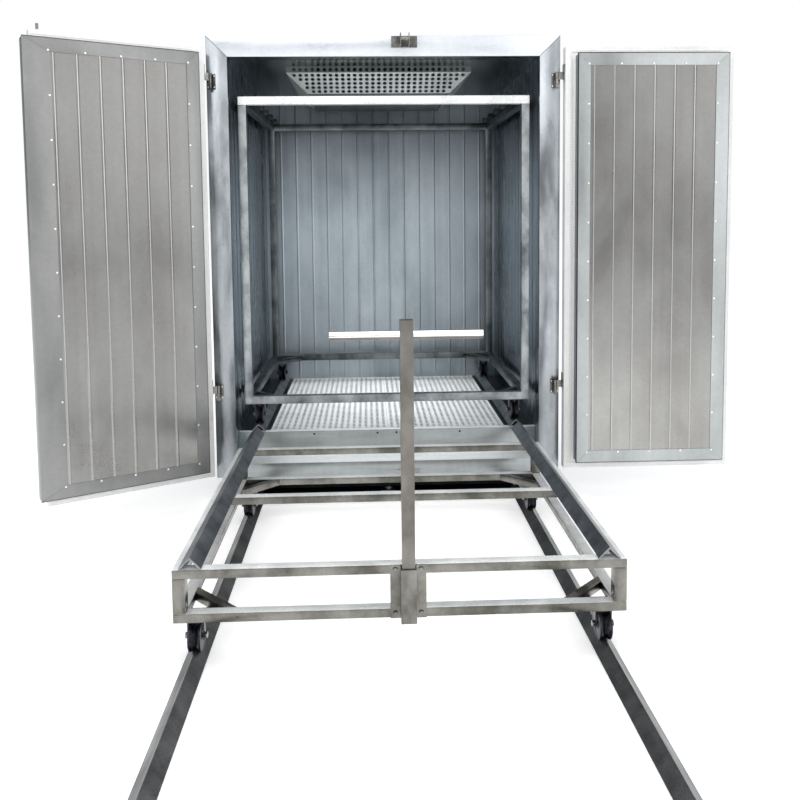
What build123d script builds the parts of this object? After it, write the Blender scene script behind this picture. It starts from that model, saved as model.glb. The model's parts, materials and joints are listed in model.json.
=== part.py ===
from build123d import *
from math import atan2, cos, degrees, radians, sin, sqrt
import os

# Walk-in powder coating oven with two doors, a load rack and a transfer trolley.
# Millimetres. +Z is up, +Y runs into the oven, and the ground is at Z = 0.
# The origin is the underside of the middle levelling foot, below the cabinet's centre.

# Cabinet
OPENING_WIDTH = 1500
OPENING_HEIGHT = 1840
CHAMBER_DEPTH = 1450
WALL = 100
FLOOR_HEIGHT = 320
GROUND_CLEARANCE = 115
FLOOR_SLAB = 100
FRONT_FRAME_DEPTH = 90

# Base
FOOT_WIDTH = 80
FOOT_PAD = 12
FOOT_STUD = 24
FOOT_END_DISTANCE = 100
BEAM_WIDTH = 60
BEAM_HEIGHT = 90

# Sill below the doors
SHEET = 3
SILL_LEDGE_DEPTH = 95
SILL_LEDGE_HEIGHT = 183
SILL_LEDGE_FALL = 14
SILL_FALL_START = 45
SILL_LIP = 30

# Ribs rolled into the wall sheets
RIB_PITCH = 100
RIB_WIDTH = 15
RIB_DEPTH = 3
RIB_MARGIN = 60

# Chamber floor and the duct under the ceiling
RAIL_BED_WIDTH = 155
FLOOR_SEAM = 1
BEARER_WIDTH = 40
BEARER_COUNT = 4
DUCT_WIDTH = 950
DUCT_LENGTH = 950
DUCT_SETBACK = 277
DUCT_X = -23
DUCT_DROP = 120
DUCT_COLLAR = 28
DUCT_INSET = 102

# Rails, which are angles laid with the corner upwards
ANGLE_LEG = 50
ANGLE_THICKNESS = 5
RAIL_WALL_DISTANCE = 97
RAIL_BACK_GAP = 10

# Doors
HINGE_OUT = 76
HINGE_FORWARD = 30
LEAF_THICKNESS = 50
LEAF_GAP = 5
LEAF_OVERLAP = 40
LEAF_TOP_OVERLAP = 44
LEAF_BOTTOM_OVERLAP = 47
PLUG_DEPTH = 60
PLUG_CLEARANCE = 9
PANEL_SHEET = 1
TRIM_WIDTH = 56
LATCH_TRIM_WIDTH = 62
MEETING_TRIM_WIDTH = 107
LEAF_MEETING_X = -30
LEAF_MEETING_GAP = 8
LEFT_PLUG_EDGE_X = 3
RIGHT_PLUG_EDGE_X = 22
TRIM_THICKNESS = 4
TRIM_MITRE_GAP = 0.6
DOOR_RIBS = 6
SEAL_WIDTH = 14
SEAL_THICKNESS = 4
SEAL_SPACING = 12
LEFT_DOOR_OPEN = 150
RIGHT_DOOR_OPEN = 180

# Hinges
HINGE_OVER_PLUG_BOTTOM = 354
HINGE_UNDER_PLUG_TOP = 108
KNUCKLE_DIAMETER = 16
KNUCKLE_LENGTH = 36
PIN_DIAMETER = 8
PIN_CLEARANCE = 0.3
HINGE_PLATE = 4
HINGE_PLATE_WIDTH = 40

# Door furniture
LATCH_X = 95
ROD_DIAMETER = 16
ROD_STANDOFF = 18
GUIDE_WIDTH = 50
GUIDE_HEIGHT = 24
GUIDE_COUNT = 4
LATCH_HEIGHT = 1100
LATCH_CASE = (90, 34, 150)
LEVER_LENGTH = 190
LEVER_WIDTH = 24
LEVER_THICKNESS = 14
KEEPER_WIDTH = 124
KEEPER_HEIGHT = 54
LOWER_KEEPER_HEIGHT = 24
KEEPER_PLATE = 4
KEEPER_REACH = 84
KEEPER_ROLLER = 14
KEEPER_GAP = 6
BOLT_DIAMETER = 12
BOLT_EDGE_DISTANCE = 45
BOLT_PROJECTION = 38
BOLT_BARREL = (40, 24, 110)

# Transfer trolley
TROLLEY_RAIL_OVERHANG = 55.5
TROLLEY_SPARE_LENGTH = 65
TROLLEY_DOCK_GAP = 198
TROLLEY_BOTTOM = 150
TROLLEY_BAR_DEPTH = 40
TROLLEY_BAR_HEIGHT = 30
TROLLEY_RAIL_DOCK_GAP = 50
BRACE_LEG = 110
BRACE_WIDTH = 30
TROLLEY_TRAVEL = 2400
GROUND_RAIL_SPARE = 110

# Push handle of the trolley and its bolted socket
HANDLE_TUBE = 40
HANDLE_TOP = 1087
HANDLE_X = 20
CROSSBAR_HEIGHT = 1040
CROSSBAR_DIAMETER = 28
CROSSBAR_LENGTH = 464
SOCKET_PLATE = 4
SOCKET_FLANGE = 32
SOCKET_CLEARANCE = 0.3
SOCKET_BOLT = 16
SOCKET_BOLT_HEAD = 6

# Load rack
RACK_SIDE_GAP = 34
RACK_BACK_GAP = 90
RACK_SETBACK = 75
RACK_CLEARANCE_OVER_FLOOR = 144
RACK_HEAD_ROOM = 175
RACK_TUBE = 40
SEAT_COUNT = 5
SEAT_LENGTH = 60
SEAT_WIDTH = 44
SEAT_HEIGHT = 30
SEAT_PLATE = 4
SEAT_FRONT_DISTANCE = 305
SEAT_BACK_DISTANCE = 60

# Grooved wheels and their forks
WHEEL_DIAMETER = 100
WHEEL_WIDTH = 40
GROOVE_DEPTH = 15
AXLE_DIAMETER = 12
BORE_CLEARANCE = 0.1
RUNNING_CLEARANCE = 0.3
FORK_SIDE_GAP = 3
FORK_PLATE = 4
FORK_DEPTH = 56
FORK_PLATE_WIDTH = 100
TROLLEY_AXLE_INSET = 75
RACK_FRONT_AXLE_INSET = 95
RACK_BACK_AXLE_INSET = 60

# Places worked out from the sizes above
HALF_OPENING = OPENING_WIDTH / 2
HALF_CABINET = HALF_OPENING + WALL
CABINET_DEPTH = CHAMBER_DEPTH + WALL
FRONT = -CABINET_DEPTH / 2
CHAMBER_BACK = FRONT + CHAMBER_DEPTH
BACK = FRONT + CABINET_DEPTH
CEILING = FLOOR_HEIGHT + OPENING_HEIGHT
ROOF = CEILING + WALL
SLAB_TOP = GROUND_CLEARANCE + FLOOR_SLAB
RISER = FRONT + SILL_LEDGE_DEPTH
BEAM_BOTTOM = GROUND_CLEARANCE - BEAM_HEIGHT
RAIL_GAUGE = OPENING_WIDTH - 2 * RAIL_WALL_DISTANCE
PERFORATED_WIDTH = OPENING_WIDTH - 2 * RAIL_BED_WIDTH
FOOT_PITCH_X = RAIL_GAUGE / 2
FOOT_PITCH_Y = CABINET_DEPTH / 2 - FOOT_END_DISTANCE
TRACK = RAIL_GAUGE / 2

HINGE_X = HALF_OPENING + HINGE_OUT
HINGE_Y = FRONT - HINGE_FORWARD
LEAF_BOTTOM = SILL_LEDGE_HEIGHT + PLUG_CLEARANCE - LEAF_BOTTOM_OVERLAP
LEAF_TOP = CEILING - PLUG_CLEARANCE + LEAF_TOP_OVERLAP
PLUG_BOTTOM = SILL_LEDGE_HEIGHT + PLUG_CLEARANCE
PLUG_TOP = CEILING - PLUG_CLEARANCE
HINGE_HEIGHTS = (PLUG_BOTTOM + HINGE_OVER_PLUG_BOTTOM, PLUG_TOP - HINGE_UNDER_PLUG_TOP)

RACK_WIDTH = OPENING_WIDTH - 2 * RACK_SIDE_GAP
RACK_LENGTH = CHAMBER_DEPTH - RACK_SETBACK - RACK_BACK_GAP
TROLLEY_WIDTH = RAIL_GAUGE + 2 * TROLLEY_RAIL_OVERHANG
TROLLEY_LENGTH = RACK_LENGTH + TROLLEY_SPARE_LENGTH
TROLLEY_BACK = FRONT - TROLLEY_DOCK_GAP
TROLLEY_FRONT = TROLLEY_BACK - TROLLEY_LENGTH
TROLLEY_TOP = FLOOR_HEIGHT
RACK_FRONT = FRONT + RACK_SETBACK
RACK_BACK = RACK_FRONT + RACK_LENGTH
RACK_BOTTOM = FLOOR_HEIGHT + RACK_CLEARANCE_OVER_FLOOR
RACK_TOP = CEILING - RACK_HEAD_ROOM

# An angle stands on the inner edges of its two legs
ANGLE_SPREAD = ANGLE_LEG / sqrt(2)
ANGLE_EDGE = ANGLE_THICKNESS / sqrt(2)
ANGLE_HEIGHT = ANGLE_SPREAD + ANGLE_EDGE
AXLE_OVER_RAIL = WHEEL_DIAMETER / 2 - GROOVE_DEPTH + RUNNING_CLEARANCE * sqrt(2)
TROLLEY_AXLE_HEIGHT = ANGLE_HEIGHT + AXLE_OVER_RAIL
RACK_AXLE_HEIGHT = FLOOR_HEIGHT + ANGLE_HEIGHT + AXLE_OVER_RAIL

STANDING = (Align.CENTER, Align.CENTER, Align.MIN)
CORNERS = [(side, end) for side in (-1, 1) for end in (-1, 1)]

os.makedirs("parts", exist_ok=True)


def save(piece, label):
    """Name a finished piece and write it."""
    piece.part.label = label
    export_step(piece.part, f"parts/{label}.step")


def block(x, y, z, mode=Mode.ADD):
    """A rectangular block between two values on each axis."""
    middle = tuple((low + high) / 2 for low, high in (x, y, z))
    size = [high - low for low, high in (x, y, z)]
    with Locations(middle):
        Box(*size, mode=mode)


def rib_row(count, pitch):
    """Centres of a row of ribs, spread evenly about zero."""
    return [(index - (count - 1) / 2) * pitch for index in range(count)]


def wall_ribs(length):
    """Centres of as many ribs as a wall of this length takes."""
    return rib_row(int((length - 2 * RIB_MARGIN) // RIB_PITCH) + 1, RIB_PITCH)


def angle_outline(x, z):
    """Six corners of an angle whose outer corner points up, standing on height z."""
    outer = ANGLE_SPREAD
    inner = ANGLE_SPREAD - ANGLE_EDGE
    return [
        (x, z + ANGLE_HEIGHT),
        (x + outer, z + ANGLE_EDGE),
        (x + inner, z),
        (x, z + inner),
        (x - inner, z),
        (x - outer, z + ANGLE_EDGE),
    ]


def rails(label, height, y_front, y_back):
    """A pair of angle rails between two places along the track."""
    with BuildPart() as pair:
        with BuildSketch(Plane.XZ.offset(-y_back)):
            for x in (-TRACK, TRACK):
                with BuildLine():
                    Polyline(*angle_outline(x, height), close=True)
                make_face()
        extrude(amount=y_back - y_front)
    save(pair, label)


def base():
    """Three long beams, closed by a cross beam at each end, on nine levelling feet."""
    beam_z = (BEAM_BOTTOM, GROUND_CLEARANCE)
    beams_reach = FOOT_PITCH_X + BEAM_WIDTH / 2
    with BuildPart() as beams:
        for x in (-FOOT_PITCH_X, 0, FOOT_PITCH_X):
            block((x - BEAM_WIDTH / 2, x + BEAM_WIDTH / 2), (RISER, BACK), beam_z)
        for y in ((RISER, RISER + BEAM_WIDTH), (BACK - BEAM_WIDTH, BACK)):
            block((-beams_reach, beams_reach), y, beam_z)
    save(beams, "base_beams")
    with BuildPart() as feet:
        with GridLocations(FOOT_PITCH_X, FOOT_PITCH_Y, 3, 3):
            Box(FOOT_WIDTH, FOOT_WIDTH, FOOT_PAD, align=STANDING)
            Cylinder(FOOT_STUD / 2, BEAM_BOTTOM, align=STANDING)
    save(feet, "levelling_feet")


def cabinet_shell():
    """Insulated panels: side walls, back wall, roof and the slab under the floor."""
    panel_front = FRONT + FRONT_FRAME_DEPTH
    side_ribs = wall_ribs(BACK - panel_front)
    side_middle = (BACK + panel_front) / 2
    for side, label in ((-1, "left_wall"), (1, "right_wall")):
        with BuildPart() as wall:
            block(
                sorted((side * HALF_OPENING, side * HALF_CABINET)),
                (panel_front, BACK),
                (GROUND_CLEARANCE, CEILING),
            )
            for y in side_ribs:
                middle_y = side_middle + y
                if middle_y + RIB_WIDTH < CHAMBER_BACK:
                    block(
                        sorted((side * HALF_OPENING, side * (HALF_OPENING - RIB_DEPTH))),
                        (middle_y - RIB_WIDTH / 2, middle_y + RIB_WIDTH / 2),
                        (FLOOR_HEIGHT + RIB_DEPTH, CEILING),
                    )
                block(
                    sorted((side * HALF_CABINET, side * (HALF_CABINET + RIB_DEPTH))),
                    (middle_y - RIB_WIDTH / 2, middle_y + RIB_WIDTH / 2),
                    (GROUND_CLEARANCE, CEILING),
                )
        save(wall, label)
    back_ribs = wall_ribs(OPENING_WIDTH)
    with BuildPart() as back_wall:
        block((-HALF_OPENING, HALF_OPENING), (CHAMBER_BACK, BACK), (SLAB_TOP, CEILING))
        for x in back_ribs:
            rib = (x - RIB_WIDTH / 2, x + RIB_WIDTH / 2)
            block(rib, (CHAMBER_BACK - RIB_DEPTH, CHAMBER_BACK), (FLOOR_HEIGHT + RIB_DEPTH, CEILING))
            block(rib, (BACK, BACK + RIB_DEPTH), (SLAB_TOP, CEILING))
    save(back_wall, "back_wall")
    with BuildPart() as roof:
        block((-HALF_CABINET, HALF_CABINET), (panel_front, BACK), (CEILING, ROOF))
    save(roof, "roof_panel")
    with BuildPart() as slab:
        block((-HALF_OPENING, HALF_OPENING), (RISER, BACK), (GROUND_CLEARANCE, SLAB_TOP))
    save(slab, "floor_slab")


def front_frame():
    """Two stiles and a head, cut at 45 degrees where they meet."""
    for side, label in ((-1, "left_stile"), (1, "right_stile")):
        with BuildPart() as stile:
            with BuildSketch(Plane.XZ.offset(-FRONT - FRONT_FRAME_DEPTH)):
                with BuildLine():
                    Polyline(
                        (side * HALF_OPENING, GROUND_CLEARANCE),
                        (side * HALF_CABINET, GROUND_CLEARANCE),
                        (side * HALF_CABINET, ROOF),
                        (side * HALF_OPENING, CEILING),
                        close=True,
                    )
                make_face()
            extrude(amount=FRONT_FRAME_DEPTH)
        save(stile, label)
    with BuildPart() as head:
        with BuildSketch(Plane.XZ.offset(-FRONT - FRONT_FRAME_DEPTH)):
            with BuildLine():
                Polyline(
                    (-HALF_OPENING, CEILING),
                    (HALF_OPENING, CEILING),
                    (HALF_CABINET, ROOF),
                    (-HALF_CABINET, ROOF),
                    close=True,
                )
            make_face()
        extrude(amount=FRONT_FRAME_DEPTH)
    save(head, "front_head")


def sill():
    """One folded sheet: a low face, a ledge that falls forwards, a riser and a lip."""
    ledge_back = SILL_LEDGE_HEIGHT + SILL_LEDGE_FALL
    with BuildPart() as folded:
        with BuildSketch(Plane.YZ.offset(-HALF_OPENING)):
            with BuildLine():
                Polyline(
                    (FRONT, GROUND_CLEARANCE),
                    (FRONT, SILL_LEDGE_HEIGHT),
                    (FRONT + SILL_FALL_START, SILL_LEDGE_HEIGHT),
                    (RISER - SHEET, ledge_back),
                    (RISER - SHEET, FLOOR_HEIGHT),
                    (RISER + SILL_LIP, FLOOR_HEIGHT),
                    (RISER + SILL_LIP, FLOOR_HEIGHT - SHEET),
                    (RISER, FLOOR_HEIGHT - SHEET),
                    (RISER, ledge_back - SHEET),
                    (FRONT + SILL_FALL_START, SILL_LEDGE_HEIGHT - SHEET),
                    (FRONT + SHEET, SILL_LEDGE_HEIGHT - SHEET),
                    (FRONT + SHEET, GROUND_CLEARANCE),
                    close=True,
                )
            make_face()
        extrude(amount=OPENING_WIDTH)
    save(folded, "sill")


def chamber_floor():
    """Perforated sheets between plain beds for the rails, all on cross bearers."""
    half = PERFORATED_WIDTH / 2
    floor_front = RISER + SILL_LIP + FLOOR_SEAM
    floor_middle = (floor_front + CHAMBER_BACK) / 2
    sheet_z = (FLOOR_HEIGHT - SHEET, FLOOR_HEIGHT)
    spans = {
        "floor_sheets_front": (floor_front, floor_middle - FLOOR_SEAM / 2),
        "floor_sheets_back": (floor_middle + FLOOR_SEAM / 2, CHAMBER_BACK),
    }
    for label, y in spans.items():
        with BuildPart() as sheets:
            block((-half, -FLOOR_SEAM / 2), y, sheet_z)
            block((FLOOR_SEAM / 2, half), y, sheet_z)
        save(sheets, label)
    with BuildPart() as beds:
        for side in (-1, 1):
            x = sorted((side * (half + FLOOR_SEAM), side * HALF_OPENING))
            block(x, (floor_front, CHAMBER_BACK), sheet_z)
    save(beds, "rail_beds")
    with BuildPart() as bearers:
        first = floor_front + BEARER_WIDTH / 2
        last = CHAMBER_BACK - BEARER_WIDTH / 2
        for index in range(BEARER_COUNT):
            y = first + (last - first) * index / (BEARER_COUNT - 1)
            block(
                (-HALF_OPENING, HALF_OPENING),
                (y - BEARER_WIDTH / 2, y + BEARER_WIDTH / 2),
                (SLAB_TOP, FLOOR_HEIGHT - SHEET),
            )
    save(bearers, "floor_bearers")


def ceiling_duct():
    """Air duct under the ceiling: an upright collar of sheet, then sloping sides."""
    middle = (DUCT_X, FRONT + DUCT_SETBACK + DUCT_LENGTH / 2)
    fall = DUCT_DROP - DUCT_COLLAR
    slope = degrees(atan2(DUCT_INSET, fall))
    with BuildPart() as duct:
        for inset, mode in ((0, Mode.ADD), (SHEET, Mode.SUBTRACT)):
            levels = (
                (CEILING, DUCT_COLLAR, 0),
                (CEILING - DUCT_COLLAR, fall - inset, slope),
            )
            for level, amount, taper in levels:
                with BuildSketch(Plane.XY.offset(level)):
                    with Locations(middle):
                        Rectangle(DUCT_WIDTH - 2 * inset, DUCT_LENGTH - 2 * inset)
                extrude(amount=-amount, taper=taper, mode=mode)
    save(duct, "ceiling_duct")


def keepers():
    """Latch keepers on the head and on the sill: a plate, two ears and a roller."""
    places = (
        (LEAF_TOP + KEEPER_GAP, LEAF_TOP + KEEPER_GAP + KEEPER_HEIGHT),
        (GROUND_CLEARANCE, GROUND_CLEARANCE + LOWER_KEEPER_HEIGHT),
    )
    ear = KEEPER_PLATE
    with BuildPart() as pair:
        for low, high in places:
            x = (LATCH_X - KEEPER_WIDTH / 2, LATCH_X + KEEPER_WIDTH / 2)
            block(x, (FRONT - KEEPER_PLATE, FRONT), (low, high))
            for side in (-1, 1):
                edge = LATCH_X + side * (ROD_DIAMETER + ear)
                block(
                    (edge - ear / 2, edge + ear / 2),
                    (FRONT - KEEPER_REACH, FRONT),
                    (low, high),
                )
            roller_y = FRONT - KEEPER_REACH + KEEPER_ROLLER
            with Locations((LATCH_X, roller_y, (low + high) / 2)):
                Cylinder(KEEPER_ROLLER / 2, 2 * ROD_DIAMETER + 4 * ear, rotation=(0, 90, 0))
    save(pair, "latch_keepers")


def frame_hinges():
    """The fixed halves of four lift-off hinges: plate, lug, lower knuckle and pin."""
    with BuildPart() as halves:
        for side in (-1, 1):
            x = side * HINGE_X
            for z in HINGE_HEIGHTS:
                low = z - KNUCKLE_LENGTH
                block(
                    (x - HINGE_PLATE_WIDTH / 2, x + HINGE_PLATE_WIDTH / 2),
                    (FRONT - HINGE_PLATE, FRONT),
                    (low, z + KNUCKLE_LENGTH),
                )
                block((x - HINGE_PLATE, x + HINGE_PLATE), (HINGE_Y, FRONT), (low, z))
                with Locations((x, HINGE_Y, low)):
                    Cylinder(
                        KNUCKLE_DIAMETER / 2,
                        KNUCKLE_LENGTH,
                        align=STANDING,
                    )
                    Cylinder(
                        PIN_DIAMETER / 2,
                        2 * KNUCKLE_LENGTH,
                        align=STANDING,
                    )
    save(halves, "frame_hinges")


def door(name, side, angle, leaf_edge, plug_edge, trims, sealed_free_side):
    """One door. Along its own x axis it runs from the hinge pin to the free edge."""
    turn = radians(angle)
    plane = Plane(
        origin=(side * HINGE_X, HINGE_Y, 0),
        x_dir=(-side * cos(turn), -sin(turn), 0),
        z_dir=(0, 0, 1),
    )
    inward = -side

    def across(low, high):
        """A span through the door's thickness, measured from the front frame's face."""
        return sorted((inward * (HINGE_FORWARD + low), inward * (HINGE_FORWARD + high)))

    leaf_near = HINGE_OUT - LEAF_OVERLAP
    leaf_far = HINGE_X - side * leaf_edge
    plug_far = HINGE_X - side * plug_edge
    plug_near = HINGE_OUT + PLUG_CLEARANCE
    plug_face = PLUG_DEPTH - TRIM_THICKNESS
    near_trim, far_trim = trims
    panel_x = (plug_near + near_trim, plug_far - far_trim)
    panel_z = (PLUG_BOTTOM + TRIM_WIDTH, PLUG_TOP - TRIM_WIDTH)

    with BuildPart(plane) as leaf:
        block((leaf_near, leaf_far), across(-LEAF_GAP - LEAF_THICKNESS, -LEAF_GAP), (LEAF_BOTTOM, LEAF_TOP))
    save(leaf, f"{name}_leaf")

    with BuildPart(plane) as plug:
        block((plug_near, min(leaf_far, plug_far)), across(-LEAF_GAP, plug_face), (PLUG_BOTTOM, PLUG_TOP))
        if plug_far > leaf_far:
            block((leaf_far, plug_far), across(0, plug_face), (PLUG_BOTTOM, PLUG_TOP))
    save(plug, f"{name}_plug")

    with BuildPart(plane) as panel:
        block(panel_x, across(plug_face, plug_face + PANEL_SHEET), panel_z)
        for offset in rib_row(DOOR_RIBS, (panel_x[1] - panel_x[0]) / DOOR_RIBS):
            x = sum(panel_x) / 2 + offset
            rib = (x - RIB_WIDTH / 2, x + RIB_WIDTH / 2)
            block(rib, across(plug_face, plug_face + RIB_DEPTH), panel_z)
    save(panel, f"{name}_panel")

    # The trim is four flat strips whose mitred ends nearly touch
    face_origin = plane.origin + plane.y_dir * inward * (HINGE_FORWARD + PLUG_DEPTH)
    face = Plane(origin=face_origin, x_dir=plane.x_dir, z_dir=-plane.y_dir)
    outer = [(x, z) for x in (plug_near, plug_far) for z in (PLUG_BOTTOM, PLUG_TOP)]
    inner = [(x, z) for x in panel_x for z in panel_z]
    with BuildPart() as trim:
        with BuildSketch(face):
            for corners, mode in ((outer, Mode.ADD), (inner, Mode.SUBTRACT)):
                (left, bottom), (right, top) = corners[0], corners[-1]
                with Locations(((left + right) / 2, (bottom + top) / 2)):
                    Rectangle(right - left, top - bottom, mode=mode)
            for start, end in zip(outer, inner):
                with BuildLine():
                    Line(start, end)
                trace(line_width=TRIM_MITRE_GAP, mode=Mode.SUBTRACT)
        extrude(amount=inward * TRIM_THICKNESS)
    save(trim, f"{name}_trim")

    seal_inside = SEAL_SPACING
    seal_outside = SEAL_SPACING + SEAL_WIDTH
    seal_y = across(-LEAF_GAP, -LEAF_GAP + SEAL_THICKNESS)
    seal_z = (PLUG_BOTTOM - seal_outside, PLUG_TOP + seal_outside)
    seal_far = plug_far + seal_outside if sealed_free_side else leaf_far
    with BuildPart(plane) as seal:
        block((plug_near - seal_outside, plug_near - seal_inside), seal_y, seal_z)
        block((plug_near - seal_outside, seal_far), seal_y, (seal_z[0], PLUG_BOTTOM - seal_inside))
        block((plug_near - seal_outside, seal_far), seal_y, (PLUG_TOP + seal_inside, seal_z[1]))
        if sealed_free_side:
            block((plug_far + seal_inside, seal_far), seal_y, seal_z)
    save(seal, f"{name}_seal")

    with BuildPart(plane) as hinges:
        for z in HINGE_HEIGHTS:
            upper = (z + PIN_CLEARANCE, z + KNUCKLE_LENGTH)
            block((0, leaf_near), (-HINGE_PLATE / 2, HINGE_PLATE / 2), upper)
            block(
                (leaf_near - HINGE_PLATE, leaf_near),
                (-HINGE_PLATE_WIDTH / 2, HINGE_PLATE_WIDTH / 2),
                (upper[0], upper[1] + KNUCKLE_LENGTH),
            )
            with Locations((0, 0, upper[0])):
                Cylinder(KNUCKLE_DIAMETER / 2, upper[1] - upper[0], align=STANDING)
                Cylinder(
                    PIN_DIAMETER / 2 + PIN_CLEARANCE,
                    upper[1] - upper[0],
                    align=STANDING,
                    mode=Mode.SUBTRACT,
                )
    save(hinges, f"{name}_hinges")
    return plane, leaf_far


def latch(plane):
    """Two rods on the outside of the right door, with guides, a case and a lever."""
    x = HINGE_X - LATCH_X
    outside = LEAF_GAP + LEAF_THICKNESS - HINGE_FORWARD
    rod_y = outside + ROD_STANDOFF
    case_width, case_depth, case_height = LATCH_CASE
    case_z = (LATCH_HEIGHT - case_height / 2, LATCH_HEIGHT + case_height / 2)
    leaf_height = LEAF_TOP - LEAF_BOTTOM
    guide_row = [LEAF_BOTTOM + leaf_height * (index + 0.5) / GUIDE_COUNT for index in range(GUIDE_COUNT)]
    with BuildPart(plane) as rods:
        block((x - case_width / 2, x + case_width / 2), (outside, outside + case_depth), case_z)
        with Locations((x, rod_y, LEAF_BOTTOM)):
            Cylinder(ROD_DIAMETER / 2, LEAF_TOP - LEAF_BOTTOM, align=STANDING)
        for z in guide_row:
            block(
                (x - GUIDE_WIDTH / 2, x + GUIDE_WIDTH / 2),
                (outside, rod_y + ROD_DIAMETER / 2 + HINGE_PLATE),
                (z - GUIDE_HEIGHT / 2, z + GUIDE_HEIGHT / 2),
            )
        lever_y = (outside + case_depth, outside + case_depth + LEVER_THICKNESS)
        lever_z = (LATCH_HEIGHT - LEVER_WIDTH / 2, LATCH_HEIGHT + LEVER_WIDTH / 2)
        block((x - LEVER_LENGTH, x + LEVER_WIDTH / 2), lever_y, lever_z)
    save(rods, "right_door_latch")


def bolt(plane, leaf_far):
    """A slim vertical bolt at the left door's top free corner, shot upwards."""
    x = leaf_far - BOLT_EDGE_DISTANCE
    outside = -(LEAF_GAP + LEAF_THICKNESS - HINGE_FORWARD)
    width, depth, height = BOLT_BARREL
    with BuildPart(plane) as shoot_bolt:
        block(
            (x - width / 2, x + width / 2),
            (outside - depth, outside),
            (LEAF_TOP - height, LEAF_TOP),
        )
        with Locations((x, outside - depth / 2, LEAF_TOP - height)):
            Cylinder(BOLT_DIAMETER / 2, height + BOLT_PROJECTION, align=STANDING)
    save(shoot_bolt, "left_door_bolt")


def doors():
    """Both doors where they stand open, with the furniture on their outer faces."""
    left_leaf_edge = LEAF_MEETING_X - LEAF_MEETING_GAP / 2
    right_leaf_edge = LEAF_MEETING_X + LEAF_MEETING_GAP / 2
    left_plane, left_far = door(
        "left_door",
        side=-1,
        angle=LEFT_DOOR_OPEN,
        leaf_edge=left_leaf_edge,
        plug_edge=LEFT_PLUG_EDGE_X,
        trims=(TRIM_WIDTH, MEETING_TRIM_WIDTH),
        sealed_free_side=False,
    )
    bolt(left_plane, left_far)
    right_plane, _ = door(
        "right_door",
        side=1,
        angle=RIGHT_DOOR_OPEN,
        leaf_edge=right_leaf_edge,
        plug_edge=RIGHT_PLUG_EDGE_X,
        trims=(TRIM_WIDTH, LATCH_TRIM_WIDTH),
        sealed_free_side=True,
    )
    latch(right_plane)


def corner_braces(label, inner_x, middle_y, inner_y, z):
    """A flat bar across each inner corner of a rectangular frame, cut at 45 degrees."""
    reach = BRACE_LEG + BRACE_WIDTH * sqrt(2)
    with BuildPart() as braces:
        with BuildSketch(Plane.XY.offset(z[0])):
            for side, end in CORNERS:
                with BuildLine():
                    Polyline(
                        (side * inner_x, middle_y + end * (inner_y - BRACE_LEG)),
                        (side * (inner_x - BRACE_LEG), middle_y + end * inner_y),
                        (side * (inner_x - reach), middle_y + end * inner_y),
                        (side * inner_x, middle_y + end * (inner_y - reach)),
                        close=True,
                    )
                make_face()
        extrude(amount=z[1] - z[0])
    save(braces, label)


def tier(z, has_middle_bar):
    """One level of the trolley's frame, drawn in the open part being built."""
    half = TROLLEY_WIDTH / 2
    bar = TROLLEY_BAR_DEPTH
    ends = [(TROLLEY_FRONT, TROLLEY_FRONT + bar), (TROLLEY_BACK - bar, TROLLEY_BACK)]
    if has_middle_bar:
        middle = (TROLLEY_FRONT + TROLLEY_BACK) / 2
        ends.append((middle - bar / 2, middle + bar / 2))
    for y in ends:
        block((-half, half), y, z)
    for side in (-1, 1):
        block(sorted((side * half, side * (half - bar))), (TROLLEY_FRONT, TROLLEY_BACK), z)


def trolley_frame():
    """Two tiers of flat tube, corner posts between them and braces in the lower one."""
    half = TROLLEY_WIDTH / 2
    bar = TROLLEY_BAR_DEPTH
    lower = (TROLLEY_BOTTOM, TROLLEY_BOTTOM + TROLLEY_BAR_HEIGHT)
    upper = (TROLLEY_TOP - TROLLEY_BAR_HEIGHT, TROLLEY_TOP)
    with BuildPart() as top_frame:
        tier(upper, True)
    save(top_frame, "trolley_top_frame")
    with BuildPart() as bottom_frame:
        tier(lower, False)
    save(bottom_frame, "trolley_bottom_frame")

    middle = (TROLLEY_FRONT + TROLLEY_BACK) / 2
    inner_x = half - bar
    inner_y = TROLLEY_LENGTH / 2 - bar
    with BuildPart() as posts:
        for side, end in CORNERS:
            block(
                sorted((side * half, side * inner_x)),
                sorted((middle + end * inner_y, middle + end * (inner_y + bar))),
                (lower[1], upper[0]),
            )
    save(posts, "trolley_posts")
    corner_braces("trolley_braces", inner_x, middle, inner_y, lower)


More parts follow.
